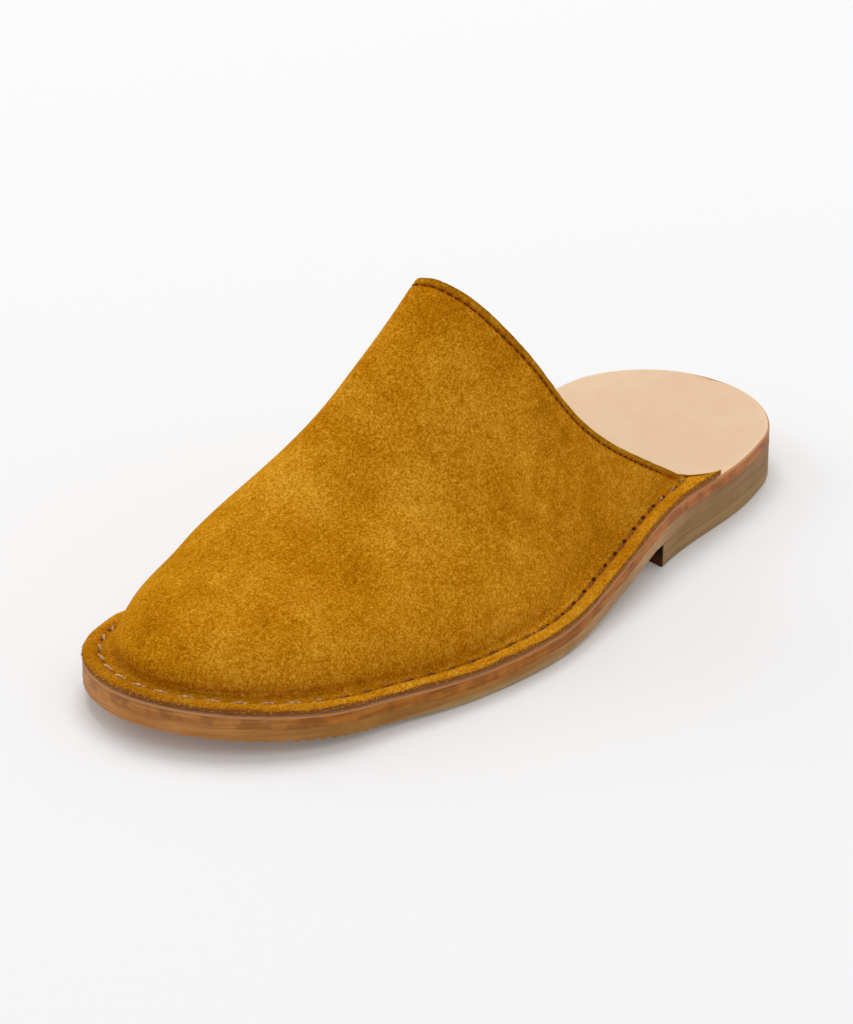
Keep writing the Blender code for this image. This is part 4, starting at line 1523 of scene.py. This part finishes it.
class SLIPPER_OT_fibres(SlipperOperator, bpy.types.Operator):
    """Adds the loose fibres of the flange's raw edge"""

    bl_idname = "slipper.fibres"
    bl_label = "Edge fibres"

    def build(self, settings):
        upper = dressed_upper(settings)
        group = fibre_group()
        light = thread_finish("edge_fibre", (0.62, 0.36, 0.13))
        for side in (1, -1):
            path, out = rim_path(upper, side, settings)
            grow_along(f"{SIDE_NAMES[side]}_edge_fibres", path, out, group, {"Material": light})


class SLIPPER_OT_insole(SlipperOperator, bpy.types.Operator):
    """Adds the leather insole"""

    bl_idname = "slipper.insole"
    bl_label = "Insole"

    def build(self, settings):
        add_insole(settings, insole_finish(settings))


class SLIPPER_OT_outsole(SlipperOperator, bpy.types.Operator):
    """Adds the ribbed rubber outsole"""

    bl_idname = "slipper.outsole"
    bl_label = "Outsole"

    def build(self, settings):
        add_outsole(settings, outsole_finish(settings))


class SLIPPER_OT_heel(SlipperOperator, bpy.types.Operator):
    """Finishes the two layers of the heel"""

    bl_idname = "slipper.heel"
    bl_label = "Heel"

    def build(self, settings):
        add_heel(settings,
                 edge_stack_finish("waxed_lift", settings.heel_colour, settings.heel_streak_colour),
                 edge_stack_finish("golden_rubber", settings.top_piece_colour, settings.top_piece_streak_colour))


class SLIPPER_OT_stage(SlipperOperator, bpy.types.Operator):
    """Adds the floor, the studio light and the camera"""

    bl_idname = "slipper.stage"
    bl_label = "Stage"

    def build(self, settings):
        add_floor(floor_finish(settings))
        add_lights()
        add_camera()


FLOOR_REACH = 6.0
CAMERA_AIM = Vector((-0.0083, -0.0109, 0.0226))
CAMERA_DISTANCE = 1.111
CAMERA_AZIMUTH = np.radians(38.69)
CAMERA_ELEVATION = np.radians(24.14)
CAMERA_LENS = 136.0
CAMERA_SENSOR = 36.0


def add_floor(material):
    """A large flat floor under the shoe."""
    mesh = bpy.data.meshes.new("floor")
    r = FLOOR_REACH
    mesh.from_pydata([(-r, -r, 0), (r, -r, 0), (r, r, 0), (-r, r, 0)], [], [(0, 1, 2, 3)])
    mesh.materials.append(material)
    floor = bpy.data.objects.new("floor", mesh)
    bpy.context.scene.collection.objects.link(floor)


def around(azimuth, elevation, distance, centre):
    """A place round a centre, by its angles, and the turn that looks back at it."""
    back = Vector((np.sin(azimuth) * np.cos(elevation), -np.cos(azimuth) * np.cos(elevation), np.sin(elevation)))
    return centre + back * distance, (-back).to_track_quat("-Z", "Y")


def add_lights():
    """Even white surroundings and three large soft lights: high behind, high on the right, low on the left."""
    scene = bpy.context.scene
    scene.view_settings.view_transform = "Standard"
    scene.view_settings.look = "None"
    world = bpy.data.worlds.new("studio")
    world.use_nodes = True
    world.node_tree.nodes["Background"].inputs["Color"].default_value = (1.0, 1.0, 1.0, 1.0)
    world.node_tree.nodes["Background"].inputs["Strength"].default_value = 0.55
    scene.world = world
    for name, azimuth, elevation, distance, size, power in (
        ("key", -135, 64, 6.0, 3.6, 184.0),
        ("side", 80, 60, 3.6, 2.6, 10.0),
        ("fill", -82, 25, 5.0, 3.3, 44.0),
    ):
        data = bpy.data.lights.new(name, "AREA")
        data.shape = "SQUARE"
        data.size = size
        data.energy = power
        light = bpy.data.objects.new(name, data)
        light.rotation_mode = "QUATERNION"
        light.location, light.rotation_quaternion = around(
            np.radians(azimuth), np.radians(elevation), distance, Vector((0, 0, 0.03)))
        scene.collection.objects.link(light)


def add_camera():
    """The camera at the photograph's angle to the shoe."""
    data = bpy.data.cameras.new("camera")
    data.sensor_width = CAMERA_SENSOR
    data.lens = CAMERA_LENS
    data.clip_start, data.clip_end = 0.05, 50.0
    camera = bpy.data.objects.new("camera", data)
    camera.rotation_mode = "QUATERNION"
    camera.location, camera.rotation_quaternion = around(
        CAMERA_AZIMUTH, CAMERA_ELEVATION, CAMERA_DISTANCE, CAMERA_AIM)
    bpy.context.scene.collection.objects.link(camera)
    bpy.context.scene.camera = camera


OPERATORS = (SLIPPER_OT_suede, SLIPPER_OT_lining, SLIPPER_OT_insole, SLIPPER_OT_outsole, SLIPPER_OT_heel,
             SLIPPER_OT_seams, SLIPPER_OT_fibres, SLIPPER_OT_stage)


class SLIPPER_PT_panel(bpy.types.Panel):
    """Lists the slipper's pieces"""

    bl_idname = "SLIPPER_PT_panel"
    bl_label = "Slipper"
    bl_space_type = "VIEW_3D"
    bl_region_type = "UI"
    bl_category = "Slipper"

    def draw(self, context):
        for operator in OPERATORS:
            self.layout.operator(operator.bl_idname)
        for name in SlipperSettings.__annotations__:
            self.layout.prop(context.scene.slipper, name)


CLASSES = (SlipperSettings, *OPERATORS, SLIPPER_PT_panel)


def register():
    for cls in CLASSES:
        bpy.utils.register_class(cls)
    bpy.types.Scene.slipper = bpy.props.PointerProperty(type=SlipperSettings)


def unregister():
    del bpy.types.Scene.slipper
    for cls in reversed(CLASSES):
        bpy.utils.unregister_class(cls)


def main():
    """Builds every piece in order."""
    register()
    for operator in OPERATORS:
        group, name = operator.bl_idname.split(".")
        getattr(getattr(bpy.ops, group), name)()


if __name__ == "__main__":
    main()
